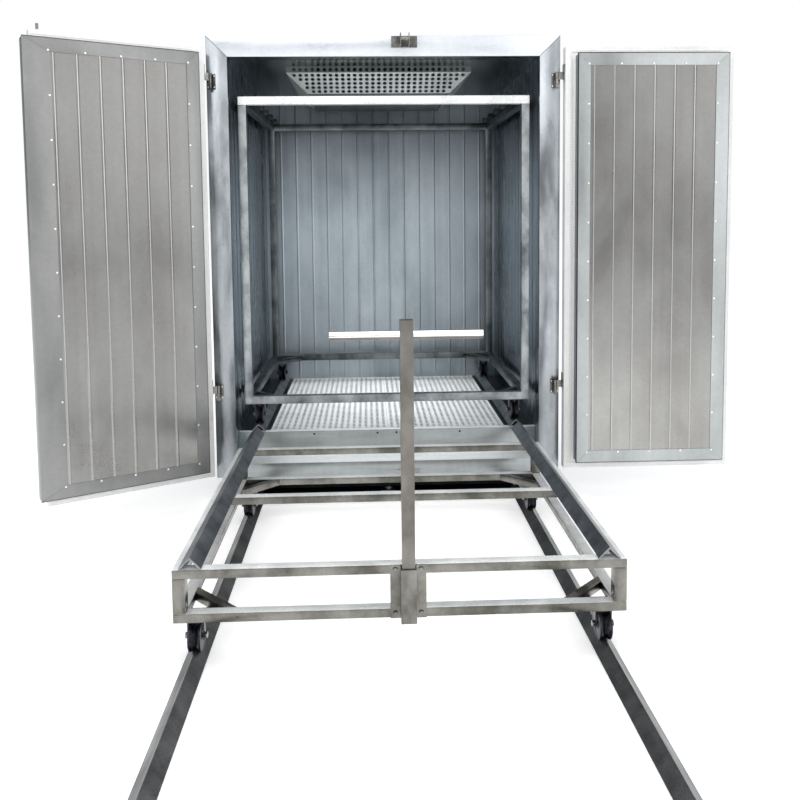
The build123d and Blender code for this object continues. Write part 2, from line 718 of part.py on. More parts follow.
def push_handle():
    """Post with a crossbar, held on the trolley's front in a bolted hat section."""
    half = HANDLE_TUBE / 2
    wall = half + SOCKET_CLEARANCE
    back = TROLLEY_FRONT - SOCKET_CLEARANCE
    with BuildPart() as handle:
        block(
            (HANDLE_X - half, HANDLE_X + half),
            (back - HANDLE_TUBE, back),
            (TROLLEY_BOTTOM, HANDLE_TOP),
        )
        with Locations((HANDLE_X, back - half, CROSSBAR_HEIGHT)):
            Cylinder(CROSSBAR_DIAMETER / 2, CROSSBAR_LENGTH, rotation=(0, 90, 0))
    save(handle, "push_handle")

    nose = back - HANDLE_TUBE - SOCKET_CLEARANCE
    z = (TROLLEY_BOTTOM, TROLLEY_TOP)
    with BuildPart() as socket:
        outer_wall = wall + SOCKET_PLATE
        block((HANDLE_X - outer_wall, HANDLE_X + outer_wall), (nose - SOCKET_PLATE, TROLLEY_FRONT), z)
        block((HANDLE_X - wall, HANDLE_X + wall), (nose, TROLLEY_FRONT), z, mode=Mode.SUBTRACT)
        for side in (-1, 1):
            edge = HANDLE_X + side * outer_wall
            flange = sorted((edge, edge + side * SOCKET_FLANGE))
            block(flange, (TROLLEY_FRONT - SOCKET_PLATE, TROLLEY_FRONT), z)
            bolt_x = edge + side * SOCKET_FLANGE / 2
            for bolt_z in (z[0] + TROLLEY_BAR_HEIGHT / 2, z[1] - TROLLEY_BAR_HEIGHT / 2):
                with Locations((bolt_x, TROLLEY_FRONT - SOCKET_PLATE, bolt_z)):
                    Cylinder(SOCKET_BOLT / 2, SOCKET_BOLT_HEAD, rotation=(90, 0, 0), align=STANDING)
    save(socket, "handle_socket")


def forks(label, axle_height, underside, axle_places):
    """A fork under each corner: a plate, two cheeks and the axle pin between them."""
    cheek = WHEEL_WIDTH / 2 + FORK_SIDE_GAP
    with BuildPart() as four:
        for side in (-1, 1):
            x = side * TRACK
            for y in axle_places:
                block(
                    (x - FORK_PLATE_WIDTH / 2, x + FORK_PLATE_WIDTH / 2),
                    (y - FORK_DEPTH / 2, y + FORK_DEPTH / 2),
                    (underside - FORK_PLATE, underside),
                )
                for hand in (-1, 1):
                    block(
                        sorted((x + hand * cheek, x + hand * (cheek + FORK_PLATE))),
                        (y - AXLE_DIAMETER, y + AXLE_DIAMETER),
                        (axle_height - AXLE_DIAMETER, underside),
                    )
                with Locations((x, y, axle_height)):
                    Cylinder(AXLE_DIAMETER / 2, 2 * (cheek + FORK_PLATE), rotation=(0, 90, 0))
    save(four, label)


def wheel(label, x, y, axle_height):
    """A wheel turned with a right-angled groove that rides on an angle's corner."""
    half = WHEEL_WIDTH / 2
    rim = WHEEL_DIAMETER / 2
    bore = AXLE_DIAMETER / 2 + BORE_CLEARANCE
    centre = (x, y, axle_height)
    with BuildPart() as grooved:
        with BuildSketch(Plane(origin=centre, x_dir=(1, 0, 0), z_dir=(0, -1, 0))):
            with BuildLine():
                Polyline(
                    (-half, bore),
                    (-half, rim),
                    (-GROOVE_DEPTH, rim),
                    (0, rim - GROOVE_DEPTH),
                    (GROOVE_DEPTH, rim),
                    (half, rim),
                    (half, bore),
                    close=True,
                )
            make_face()
        revolve(axis=Axis(centre, (1, 0, 0)))
    save(grooved, label)


def wheels(carrier, axle_height, axle_places):
    """Four grooved wheels, named by the corner that each one carries."""
    for side, hand in ((-1, "left"), (1, "right")):
        for y, end in zip(axle_places, ("front", "back")):
            wheel(f"{carrier}_wheel_{end}_{hand}", side * TRACK, y, axle_height)


def trolley():
    """The transfer trolley where it stands docked, with its rails in line."""
    trolley_frame()
    push_handle()
    axle_places = (TROLLEY_FRONT + TROLLEY_AXLE_INSET, TROLLEY_BACK - TROLLEY_AXLE_INSET)
    forks("trolley_forks", TROLLEY_AXLE_HEIGHT, TROLLEY_BOTTOM, axle_places)
    wheels("trolley", TROLLEY_AXLE_HEIGHT, axle_places)
    rails("trolley_rails", TROLLEY_TOP, TROLLEY_FRONT, RISER - TROLLEY_RAIL_DOCK_GAP)


def bar_seats():
    """Channels on the rack's top side bars, which take the ends of the hanging bars."""
    half = RACK_WIDTH / 2
    last = RACK_BACK - SEAT_BACK_DISTANCE
    pitch = (RACK_LENGTH - SEAT_FRONT_DISTANCE - SEAT_BACK_DISTANCE) / (SEAT_COUNT - 1)
    with BuildPart() as seats:
        for start in (-half, half - SEAT_LENGTH):
            with BuildSketch(Plane.YZ.offset(start)):
                for index in range(SEAT_COUNT):
                    with Locations((last - index * pitch, RACK_TOP + SEAT_HEIGHT / 2)):
                        Rectangle(SEAT_WIDTH, SEAT_HEIGHT)
                    with Locations((last - index * pitch, RACK_TOP + SEAT_PLATE + SEAT_HEIGHT / 2)):
                        Rectangle(SEAT_WIDTH - 2 * SEAT_PLATE, SEAT_HEIGHT, mode=Mode.SUBTRACT)
            extrude(amount=SEAT_LENGTH)
    save(seats, "rack_bar_seats")


def rack():
    """The load rack in the chamber: two upright frames joined by four side bars."""
    half = RACK_WIDTH / 2
    tube = RACK_TUBE
    ends = {
        "rack_front_frame": (RACK_FRONT, RACK_FRONT + tube),
        "rack_back_frame": (RACK_BACK - tube, RACK_BACK),
    }
    levels = ((RACK_BOTTOM, RACK_BOTTOM + tube), (RACK_TOP - tube, RACK_TOP))
    for label, y in ends.items():
        with BuildPart() as frame:
            for z in levels:
                block((-half, half), y, z)
            for side in (-1, 1):
                block(sorted((side * half, side * (half - tube))), y, (RACK_BOTTOM, RACK_TOP))
        save(frame, label)
    with BuildPart() as bars:
        for side in (-1, 1):
            for z in levels:
                x = sorted((side * half, side * (half - tube)))
                block(x, (RACK_FRONT + tube, RACK_BACK - tube), z)
    save(bars, "rack_side_bars")
    brace_z = (RACK_BOTTOM, RACK_BOTTOM + BRACE_WIDTH)
    corner_braces("rack_braces", half - tube, (RACK_FRONT + RACK_BACK) / 2, RACK_LENGTH / 2 - tube, brace_z)
    bar_seats()
    axle_places = (RACK_FRONT + RACK_FRONT_AXLE_INSET, RACK_BACK - RACK_BACK_AXLE_INSET)
    forks("rack_forks", RACK_AXLE_HEIGHT, RACK_BOTTOM, axle_places)
    wheels("rack", RACK_AXLE_HEIGHT, axle_places)


def ground_rails():
    """Rails on the ground, from the front feet to the end of the trolley's run."""
    foot_front = -FOOT_PITCH_Y - FOOT_WIDTH / 2
    last_axle = TROLLEY_FRONT + TROLLEY_AXLE_INSET - TROLLEY_TRAVEL
    rails("ground_rails", 0, last_axle - GROUND_RAIL_SPARE, foot_front)


base()
cabinet_shell()
front_frame()
sill()
chamber_floor()
ceiling_duct()
rails("chamber_rails", FLOOR_HEIGHT, RISER, CHAMBER_BACK - RAIL_BACK_GAP)
keepers()
frame_hinges()
doors()
trolley()
rack()
ground_rails()
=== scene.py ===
# %% [markdown]
# # A walk-in powder coating oven
# The oven is a steel box with two insulated doors. A welded rack rolls out of it on rails,
# onto a trolley that runs on rails of its own. The measured frame is loaded first. Places
# and large sizes are read from it, and the sizes of small details are named in millimetres.

import json
from math import atan2, cos, radians, sin

import bpy
from mathutils import Matrix, Vector


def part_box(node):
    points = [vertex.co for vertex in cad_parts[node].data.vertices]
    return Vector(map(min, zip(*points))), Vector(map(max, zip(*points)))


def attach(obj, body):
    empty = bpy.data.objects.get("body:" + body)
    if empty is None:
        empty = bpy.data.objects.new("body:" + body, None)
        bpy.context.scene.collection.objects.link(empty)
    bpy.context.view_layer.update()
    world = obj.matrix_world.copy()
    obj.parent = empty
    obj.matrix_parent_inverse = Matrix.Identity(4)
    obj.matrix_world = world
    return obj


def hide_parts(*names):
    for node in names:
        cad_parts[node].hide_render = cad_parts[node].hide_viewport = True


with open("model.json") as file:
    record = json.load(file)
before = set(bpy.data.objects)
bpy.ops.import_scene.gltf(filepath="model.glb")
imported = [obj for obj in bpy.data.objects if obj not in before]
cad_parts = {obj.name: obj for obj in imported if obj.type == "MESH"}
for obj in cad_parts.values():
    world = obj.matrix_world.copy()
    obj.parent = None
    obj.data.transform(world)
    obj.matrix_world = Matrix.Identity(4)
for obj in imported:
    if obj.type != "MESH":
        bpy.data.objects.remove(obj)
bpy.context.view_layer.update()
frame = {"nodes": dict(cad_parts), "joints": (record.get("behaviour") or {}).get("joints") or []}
NODES = frame["nodes"]
MM = 0.001

# %% [markdown]
# Operators act on whatever is selected, so the loaded nodes are deselected before anything
# else is made. The same small function is used between pieces. Others select one piece,
# join several, and make a piece's place, turn and scale part of its mesh.


# %% Selection helpers
def deselect():
    bpy.ops.object.select_all(action="DESELECT")
    bpy.context.view_layer.objects.active = None


def select_only(piece):
    deselect()
    piece.select_set(True)
    bpy.context.view_layer.objects.active = piece


def joined(pieces):
    """Several pieces joined into the first of them."""
    select_only(pieces[0])
    for piece in pieces:
        piece.select_set(True)
    bpy.ops.object.join()
    return bpy.context.active_object


def freeze():
    bpy.ops.object.transform_apply(location=True, rotation=True, scale=True)


deselect()

# %% [markdown]
# ## The camera
# The photograph was taken from about standing height, a little left of the middle and
# looking slightly right and down. Its crop was shifted, so the lens is shifted too.

# %% Camera
PICTURE_SIZE = 800
FOCAL_PIXELS = 829.965
PRINCIPAL_HEIGHT = 279.414
CAMERA_PLACE = Vector((-94, -4821, 1400)) * MM
CAMERA_YAW = 0.039
CAMERA_PITCH = 0.077
CAMERA_ROLL = -0.010

forward = Vector(
    (
        sin(CAMERA_YAW) * cos(CAMERA_PITCH),
        cos(CAMERA_YAW) * cos(CAMERA_PITCH),
        -sin(CAMERA_PITCH),
    )
)
level = Vector((cos(CAMERA_YAW), -sin(CAMERA_YAW), 0))
upright = level.cross(forward)
right = level * cos(CAMERA_ROLL) + upright * sin(CAMERA_ROLL)
up = right.cross(forward)
turn = Matrix((right, up, -forward)).transposed()

camera_data = bpy.data.cameras.new("camera")
camera_data.sensor_width = 36
camera_data.lens = FOCAL_PIXELS / PICTURE_SIZE * camera_data.sensor_width
camera_data.shift_y = PRINCIPAL_HEIGHT / PICTURE_SIZE - 0.5
camera_data.clip_end = 200
camera = bpy.data.objects.new("camera", camera_data)
bpy.context.scene.collection.objects.link(camera)
camera.location = CAMERA_PLACE
camera.rotation_euler = turn.to_euler()
bpy.context.scene.camera = camera
bpy.context.scene.view_settings.view_transform = "Standard"
print("lens", round(camera_data.lens, 2), "shift", round(camera_data.shift_y, 4))

# %% [markdown]
# ## Materials
# Nearly everything here is steel, so the finishes differ by how the steel was made: zinc
# dipped sheet, drawn tube, rolled angle, plated fittings. One function turns hex colours to
# linear values and one adds a node with its settings and links. The others make the few
# patterns that every finish is built from.


# %% Material helpers
def linear(hex_colour):
    """An sRGB hex colour as the linear RGBA that nodes expect."""
    channels = [int(hex_colour[i : i + 2], 16) / 255 for i in (1, 3, 5)]
    return [c / 12.92 if c <= 0.04045 else ((c + 0.055) / 1.055) ** 2.4 for c in channels] + [1]


def add(material, kind, inputs=None, **settings):
    """Adds one node. An input is a value, or a socket of another node to link from."""
    tree = material.node_tree
    new = tree.nodes.new(kind)
    for key, value in settings.items():
        setattr(new, key, value)
    for key, value in (inputs or {}).items():
        if isinstance(value, bpy.types.NodeSocket):
            tree.links.new(value, new.inputs[key])
        else:
            new.inputs[key].default_value = value
    return new


def surface(name, metallic=1.0):
    """An empty metal or plastic material, with its shader and its object coordinates."""
    material = bpy.data.materials.new(name)
    material.use_nodes = True
    shader = material.node_tree.nodes["Principled BSDF"]
    shader.inputs["Metallic"].default_value = metallic
    place = add(material, "ShaderNodeTexCoord").outputs["Object"]
    return material, shader, place


def stretched(material, place, cell_mm, detail=4.0, rough=0.55, twist=0.0):
    """Noise whose cells have the given real size along x, y and z, in millimetres."""
    scale = [1 / (size * MM) for size in cell_mm]
    moved = add(material, "ShaderNodeMapping", {"Vector": place, "Scale": scale})
    noise = add(
        material,
        "ShaderNodeTexNoise",
        {
            "Vector": moved.outputs["Vector"],
            "Scale": 1.0,
            "Detail": detail,
            "Roughness": rough,
            "Distortion": twist,
        },
    )
    return noise.outputs["Fac"]


def ramp(material, value, stops):
    """A colour ramp through hex colours at the given positions."""
    made = add(material, "ShaderNodeValToRGB", {"Fac": value})
    band = made.color_ramp
    while len(band.elements) < len(stops):
        band.elements.new(0.5)
    for element, (position, colour) in zip(band.elements, stops):
        element.position = position
        element.color = linear(colour)
    return made.outputs["Color"]


def mapped(material, value, from_low, from_high, low, high):
    """A value moved from one range to another and kept inside it."""
    limits = {"From Min": from_low, "From Max": from_high, "To Min": low, "To Max": high}
    return add(material, "ShaderNodeMapRange", {"Value": value, **limits}).outputs["Result"]


NOISE_LOW, NOISE_HIGH = 0.3, 0.7


def between(material, value, low, high):
    """A number that follows a noise, from low to high. Noise hardly leaves its middle."""
    return mapped(material, value, NOISE_LOW, NOISE_HIGH, low, high)


def mixed(material, factor, first, second, blend="MIX"):
    made = add(material, "ShaderNodeMix", data_type="RGBA", blend_type=blend)
    tree = material.node_tree
    for index, value in ((0, factor), (6, first), (7, second)):
        if isinstance(value, bpy.types.NodeSocket):
            tree.links.new(value, made.inputs[index])
        else:
            made.inputs[index].default_value = value
    return made.outputs[2]


def bumped(material, shader, height, depth_mm, strength=1.0):
    """Relief of a real depth from a height texture."""
    bump = add(
        material,
        "ShaderNodeBump",
        {"Height": height, "Distance": depth_mm * MM, "Strength": strength},
    )
    material.node_tree.links.new(bump.outputs["Normal"], shader.inputs["Normal"])


def feed(material, socket, shader, name):
    material.node_tree.links.new(socket, shader.inputs[name])


# %% [markdown]
# Galvanised sheet is steel dipped in zinc. The zinc freezes into crystals, and handling
# leaves wide soft smudges with hardly any rolling streaks. So the colour mixes large
# soft clouds with a little streak and crystal, and the roughness follows the clouds,
# which gives patchy reflections.


# %% Galvanised sheet
CRYSTAL_MM = 14
CRYSTAL_SHARE = 0.07
STREAK_MM = (35, 35, 1600)
STREAK_SHARE = 0.18


def galvanised(
    name, dark, light, gloss, cloud_mm=(170, 170, 420), metallic=1.0, spread=0.25, fade=None
):
    """Zinc dipped sheet. A fade (low, high, tone low, tone high) scales its colour by height, as
    painted light and shade.
    """
    material, shader, place = surface(name, metallic)
    clouds = stretched(material, place, cloud_mm, detail=3, rough=0.45, twist=0.3)
    streaks = stretched(material, place, STREAK_MM, detail=2)
    tone = add(material, "ShaderNodeMix", {"Factor": STREAK_SHARE}, data_type="FLOAT")
    tree = material.node_tree
    tree.links.new(clouds, tone.inputs[2])
    tree.links.new(streaks, tone.inputs[3])
    colour = ramp(material, tone.outputs[0], [(0.5 - spread, dark), (0.5 + spread, light)])
    grains = add(
        material,
        "ShaderNodeTexVoronoi",
        {"Vector": place, "Scale": 1 / (CRYSTAL_MM * MM)},
    ).outputs["Color"]
    grey = add(material, "ShaderNodeRGBToBW", {"Color": grains}).outputs["Val"]
    flakes = ramp(material, grey, [(0.2, "#9C9C9C"), (0.8, "#FFFFFF")])
    colour = mixed(material, CRYSTAL_SHARE, colour, flakes, "MULTIPLY")
    if fade:
        height = add(material, "ShaderNodeSeparateXYZ", {"Vector": place}).outputs["Z"]
        colour = mixed(material, 1.0, colour, mapped(material, height, *fade), "MULTIPLY")
    feed(material, colour, shader, "Base Color")
    feed(material, between(material, clouds, gloss[0], gloss[1]), shader, "Roughness")
    return material


# The door panels darken towards the top: a painted reflection.
DOOR_SHEET = galvanised(
    "door_sheet_painted_reflection",
    "#838280",
    "#A5A5A3",
    (0.24, 0.36),
    (200, 200, 340),
    fade=(0.45, 1.2, 1.0, 0.64),
)
# The rib tops get a lighter copy of the door sheet: a painted highlight.
CREST_HIGHLIGHT = galvanised("rib_crest_painted_highlight", "#9C9C9A", "#B6B6B4", (0.24, 0.34))
# Both trims are one sheet: the left door's darker copy is painted shade, the right door's lighter
# copy painted light.
LEFT_TRIM_SHADED = galvanised("left_door_trim_shaded_copy", "#787979", "#949594", (0.30, 0.44))
RIGHT_TRIM_LIT = galvanised("right_door_trim_lit_copy", "#8F9394", "#B3B7B8", (0.30, 0.44))
# The leaf's near-white colour is a painted highlight, for the bright shine of its flange.
LEAF_HIGHLIGHT_SHEET = galvanised(
    "door_leaf_painted_highlight", "#D6D8D9", "#F0F1F1", (0.40, 0.50), metallic=0.3
)
# The plug's sides are dark: painted shade, where leaf and trim shade them.
PLUG_SHADE_SHEET = galvanised("plug_side_painted_shade", "#5B656D", "#818A91", (0.32, 0.46))
# The head's pale colour is a painted reflection of the bright room.
HEAD_REFLECTION_SHEET = galvanised(
    "head_sheet_painted_reflection", "#CBD1D8", "#E5E9EE", (0.26, 0.38), (240, 90, 70), metallic=0.6
)
# The stiles darken towards the bottom: a painted reflection.
STILE_SHEET = galvanised(
    "stile_sheet_painted_reflection",
    "#73777B",
    "#BABFC4",
    (0.20, 0.34),
    (80, 80, 260),
    spread=0.2,
    fade=(0.4, 1.3, 0.74, 1.0),
)
CHAMBER_SHEET = galvanised(
    "bright_rolled_chamber_sheet", "#707C84", "#B2BDC5", (0.22, 0.34), (260, 260, 700)
)
# The back wall darkens towards the top: painted shade under the head.
BACK_SHEET = galvanised(
    "back_sheet_painted_top_shade",
    "#828D94",
    "#BDC6CD",
    (0.36, 0.44),
    (260, 260, 500),
    fade=(1.35, 2.0, 1.0, 0.52),
)
# The duct's upright collar is darker: painted shade under the ceiling.
COLLAR_SHADE_SHEET = galvanised("dark_zinc_collar_sheet", "#4F5554", "#727977", (0.30, 0.42))
# The ceiling sheet is darker than the walls: painted shade on the ceiling and on downward faces.
CEILING_SHADE_SHEET = galvanised(
    "ceiling_sheet_painted_shade", "#5C6969", "#869290", (0.16, 0.26), (260, 260, 260)
)
SILL_SHEET = galvanised("folded_sill_sheet", "#84898A", "#ABB0B1", (0.28, 0.40), (400, 60, 60))
# The sill's top faces are lighter than its face: painted light from above.
LEDGE_LIGHT_SHEET = galvanised(
    "ledge_painted_light", "#DDE4E6", "#FBFDFD", (0.40, 0.5), (400, 60, 60), metallic=0.2
)
FLOOR_SHEET = galvanised(
    "dull_zinc_floor_sheet", "#E3E9EB", "#FBFDFD", (0.42, 0.54), (120, 120, 120), metallic=0.25
)
DUCT_SHEET = galvanised(
    "dull_zinc_duct_sheet", "#B4B8B8", "#DADEDE", (0.34, 0.46), (120, 120, 120), metallic=0.7
)
BED_SHEET = galvanised(
    "plain_rail_bed_sheet", "#33383A", "#566066", (0.34, 0.46), (60, 500, 60)
)
print("sheet finishes made")

# %% [markdown]
# Square tube is welded up, and handling rubs and polishes its zinc, which soft clouds give.
# Small dark specks are weld spatter and scale, which one thresholded fine noise gives.


# %% Tube and angle finishes
TUBE_CLOUD_MM = (120, 120, 160)
SPECK_MM = (5, 5, 5)


def tube_finish(name, dark, light, gloss, speck_share, grain_mm=(25, 25, 25), metallic=1.0):
    """Drawn or rolled steel with rubbed clouds and a share of dark specks."""
    material, shader, place = surface(name, metallic)
    clouds = stretched(material, place, TUBE_CLOUD_MM, detail=6, rough=0.6)
    grain = stretched(material, place, grain_mm, detail=4)
    specks = stretched(material, place, SPECK_MM, detail=2)
    colour = ramp(material, clouds, [(0.36, dark), (0.62, light)])
    dust = ramp(material, specks, [(0.60, "#FFFFFF"), (0.66, "#5A554E")])
    feed(material, mixed(material, speck_share, colour, dust, "MULTIPLY"), shader, "Base Color")
    feed(material, between(material, grain, gloss[0], gloss[1]), shader, "Roughness")
    bumped(material, shader, grain, depth_mm=0.2, strength=0.3)
    return material


RACK_TUBE = tube_finish(
    "galvanised_rack_tube", "#E2E5E5", "#F7F8F8", (0.34, 0.46), 0.75, metallic=0.3
)
# Painted light: the lighter tube for the trolley's top faces.
LIT_TOP_TUBE = tube_finish(
    "trolley_tube_painted_top_light", "#D5D9DA", "#F3F5F5", (0.28, 0.42), 0.4, metallic=0.3
)
LOWER_TUBE = tube_finish("mill_finish_lower_tube", "#56554F", "#807F7A", (0.24, 0.40), 0.12)
POST_TUBE = tube_finish("streaked_rack_post", "#5F6568", "#A4A9AB", (0.30, 0.46), 0.6)
BACK_TUBE = tube_finish("dull_rack_tube", "#4E5456", "#7C8183", (0.30, 0.46), 0.6)
SEAT_STEEL = tube_finish("dull_folded_seat", "#1E2022", "#4A4D4F", (0.30, 0.46), 0.6)
HANDLE_TUBE = tube_finish("mill_finish_handle_tube", "#5C5955", "#787571", (0.28, 0.40), 0.1)
# A painted highlight for the upper part of the push bar.
BAR_HIGHLIGHT = tube_finish("push_bar_painted_highlight", "#C9CACA", "#EDEEEE", (0.14, 0.22), 0.1)
ANGLE_STEEL = tube_finish(
    "hot_rolled_angle", "#6A6C71", "#96989D", (0.34, 0.50), 0.35, (30, 500, 30)
)
GROUND_STEEL = tube_finish(
    "hot_rolled_ground_angle", "#515355", "#747677", (0.36, 0.52), 0.5, (40, 400, 40)
)
FORK_STEEL = tube_finish("dark_pressed_fork", "#3A3C40", "#64666A", (0.32, 0.48), 0.3)
PLATED = tube_finish("zinc_plated_fittings", "#484846", "#9A9995", (0.20, 0.36), 0.6)
BRIGHT_HEAD = tube_finish("bright_rivet_and_bolt_heads", "#D8D8D5", "#F7F7F5", (0.25, 0.4), 0.0)
# Near-black steel: painted shade on the cabinet's underside and base, and the sill screws' own
# dark colour.
DARK_SCREWS_AND_BASE_SHADE = tube_finish("dark_screws_and_base_painted_shade", "#101112", "#1E2022", (0.45, 0.6), 0.1)

# %% [markdown]
# The wheels are turned from dark cast iron. Turning leaves fine streaks, and rolling wears
# bright patches. The door seals are ropes of woven glass, so a crossed pattern of waves at
# the real strand spacing lifts and shades them.


# %% Wheel and rope finishes
def cast_iron():
    material, shader, place = surface("turned_cast_iron", 0.9)
    wear = stretched(material, place, (6, 30, 30), detail=5)
    colour = ramp(material, wear, [(0.4, "#191A1D"), (0.7, "#4A4D57")])
    feed(material, colour, shader, "Base Color")
    feed(material, between(material, wear, 0.28, 0.46), shader, "Roughness")
    bumped(material, shader, wear, depth_mm=0.3, strength=0.4)
    return material


STRAND_MM = 7.0


def woven_glass():
    material, shader, place = surface("woven_glass_rope", 0.0)
    heights = []
    for slant in ((1, 1, 1), (-1, -1, 1)):
        turned = add(
            material,
            "ShaderNodeMapping",
            {"Vector": place, "Scale": [s / (STRAND_MM * MM) for s in slant]},
        )
        wave = add(
            material,
            "ShaderNodeTexWave",
            {"Vector": turned.outputs["Vector"], "Scale": 0.32, "Distortion": 0.6, "Detail": 1.0},
            bands_direction="DIAGONAL",
        )
        heights.append(wave.outputs["Fac"])
    crossed = add(
        material, "ShaderNodeMath", {0: heights[0], 1: heights[1]}, operation="MAXIMUM"
    )
    height = crossed.outputs["Value"]
    colour = ramp(material, height, [(0.2, "#DEDBD2"), (0.8, "#FBFAF6")])
    feed(material, colour, shader, "Base Color")
    shader.inputs["Roughness"].default_value = 0.85
    bumped(material, shader, height, depth_mm=1.2, strength=0.8)
    return material


# Painted shadow: the near-black finish of the lips round the plugs.
def plug_shadow_finish():
    material, shader, place = surface("plug_painted_shadow", 0.0)
    shader.inputs["Base Color"].default_value = linear("#1D1E1F")
    shader.inputs["Roughness"].default_value = 0.6
    grain = stretched(material, place, (3, 3, 3))
    bumped(material, shader, grain, depth_mm=0.1, strength=0.2)
    return material


WHEEL_IRON = cast_iron()
GLASS_ROPE = woven_glass()
PLUG_SHADOW = plug_shadow_finish()
print("materials:", len(bpy.data.materials))

# %% [markdown]
# The measured nodes whose shape is already right keep it and get their finish here. A
# short table says which finish goes on which node.

# %% Finishes for the measured nodes
FINISH = {
    # The roof panel gets the ceiling's painted shade.
    "roof_panel": CEILING_SHADE_SHEET,
    # The cabinet's underside and base are black: painted shade under the oven.
    "floor_slab": DARK_SCREWS_AND_BASE_SHADE,
    "floor_bearers": DARK_SCREWS_AND_BASE_SHADE,
    "base_beams": DARK_SCREWS_AND_BASE_SHADE,
    "levelling_feet": PLATED,
    "rail_beds": BED_SHEET,
    "chamber_rails": ANGLE_STEEL,
    "trolley_rails": ANGLE_STEEL,
    "ground_rails": GROUND_STEEL,
    "trolley_forks": FORK_STEEL,
    "rack_forks": FORK_STEEL,
    "latch_keepers": PLATED,
    "frame_hinges": PLATED,
    "left_door_hinges": PLATED,
    "right_door_hinges": PLATED,
    "left_door_bolt": PLATED,
    "right_door_latch": PLATED,
    "handle_socket": LOWER_TUBE,
}


def give(piece, material):
    piece.data.materials.clear()
    piece.data.materials.append(material)


for node, material in FINISH.items():
    give(NODES[node], material)
print("finished nodes:", len(FINISH))

# %% [markdown]
# ## Softened tube and wheels
# Real square tube has rounded corners, and its thin bright edge lines come from them. A
# copy of each measured mesh is merged, its flat triangles are dissolved to plain faces,
# and a bevel rounds every sharp edge. The copy then stands for the measured node.


# %% Soften a measured node
MERGE_MM = 0.02
FLAT_DEGREES = 0.5
SHARP_DEGREES = 35
SMOOTH_DEGREES = 30


def merged_copy(node, name):
    """A copy of a measured node with its loose triangles merged and flat faces joined."""
    mesh = NODES[node].data.copy()
    piece = bpy.data.objects.new(name, mesh)
    bpy.context.scene.collection.objects.link(piece)
    select_only(piece)
    bpy.ops.object.mode_set(mode="EDIT")
    bpy.ops.mesh.select_all(action="SELECT")
    bpy.ops.mesh.remove_doubles(threshold=MERGE_MM * MM)
    bpy.ops.mesh.dissolve_limited(angle_limit=radians(FLAT_DEGREES))
    bpy.ops.object.mode_set(mode="OBJECT")
    if mesh.has_custom_normals:
        bpy.ops.mesh.customdata_custom_splitnormals_clear()
    return piece


def apply_modifier(piece, kind, **settings):
    bpy.context.view_layer.objects.active = piece
    modifier = piece.modifiers.new(kind.lower(), kind)
    for key, value in settings.items():
        setattr(modifier, key, value)
    bpy.ops.object.modifier_apply(modifier=modifier.name)


def softened(node, name, radius_mm, body, material, segments=2):
    piece = merged_copy(node, name)
    apply_modifier(
        piece,
        "BEVEL",
        width=radius_mm * MM,
        segments=segments,
        limit_method="ANGLE",
        angle_limit=radians(SHARP_DEGREES),
    )
    bpy.ops.object.shade_smooth_by_angle(angle=radians(SMOOTH_DEGREES))
    give(piece, material)
    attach(piece, body)
    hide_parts(node)
    deselect()
    return piece


TUBE_CORNER_MM = 2.5
FINE_CORNER_MM = 0.8
TUBES = {
    "rack_front_frame": ("rack", RACK_TUBE),
    "rack_back_frame": ("rack", BACK_TUBE),
    "rack_side_bars": ("rack", BACK_TUBE),
    "rack_braces": ("rack", BACK_TUBE),
    "trolley_top_frame": ("trolley", LIT_TOP_TUBE),
    "trolley_bottom_frame": ("trolley", LOWER_TUBE),
    "trolley_posts": ("trolley", LOWER_TUBE),
    "trolley_braces": ("trolley", LOWER_TUBE),
    "push_handle": ("trolley", HANDLE_TUBE),
}
for node, (body, material) in TUBES.items():
    piece = softened(node, f"{node}_tube", TUBE_CORNER_MM, body, material)
    print(piece.name, len(piece.data.polygons), "faces")
softened(
    "rack_bar_seats", "rack_bar_seats_folded", FINE_CORNER_MM, "rack", SEAT_STEEL
)

# %% [markdown]
# The trolley's bars get a light finish on their top faces and a darker one on their sides:
# painted light from above.
# The rack's posts are duller than its top bar.


# %% Duller posts, and painted light on the trolley's bars
def repaint(name, material, chosen):
    """Gives one more material to the faces of a piece that a test chooses."""
    piece = bpy.data.objects[name]
    piece.data.materials.append(material)
    faces = [face for face in piece.data.polygons if chosen(face)]
    for face in faces:
        face.material_index = len(piece.data.materials) - 1
    print(name, material.name, len(faces), "faces")


def cut_level(name, height):
    """Splits the faces of a piece along one level, so that they can be told apart."""
    select_only(bpy.data.objects[name])
    bpy.ops.object.mode_set(mode="EDIT")
    bpy.ops.mesh.select_all(action="SELECT")
    bpy.ops.mesh.bisect(plane_co=(0, 0, height), plane_no=(0, 0, 1))
    bpy.ops.object.mode_set(mode="OBJECT")
    deselect()


TUBE_MM = 40
FACING = 0.5
below_top_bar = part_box("rack_front_frame")[1].z - TUBE_MM * MM
cut_level("rack_front_frame_tube", below_top_bar)
repaint("rack_front_frame_tube", POST_TUBE, lambda f: f.center.z < below_top_bar)
# Painted light: the trolley's top faces get the lighter tube, its side faces the darker one.
repaint("trolley_top_frame_tube", LOWER_TUBE, lambda f: f.normal.z < FACING)
repaint("trolley_bottom_frame_tube", LIT_TOP_TUBE, lambda f: f.normal.z > FACING)

# %% Push bar with a painted highlight
POST_MARGIN_MM = 2
HIGHLIGHT_START_SHARE = 0.4
post_x = sum(c.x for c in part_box("handle_socket")) / 2
outside_post = (TUBE_MM / 2 + POST_MARGIN_MM) * MM
handle = bpy.data.objects["push_handle_tube"]
bar = [v.co.z for v in handle.data.vertices if abs(v.co.x - post_x) > outside_post]
shine = min(bar) + HIGHLIGHT_START_SHARE * (max(bar) - min(bar))
cut_level(handle.name, shine)
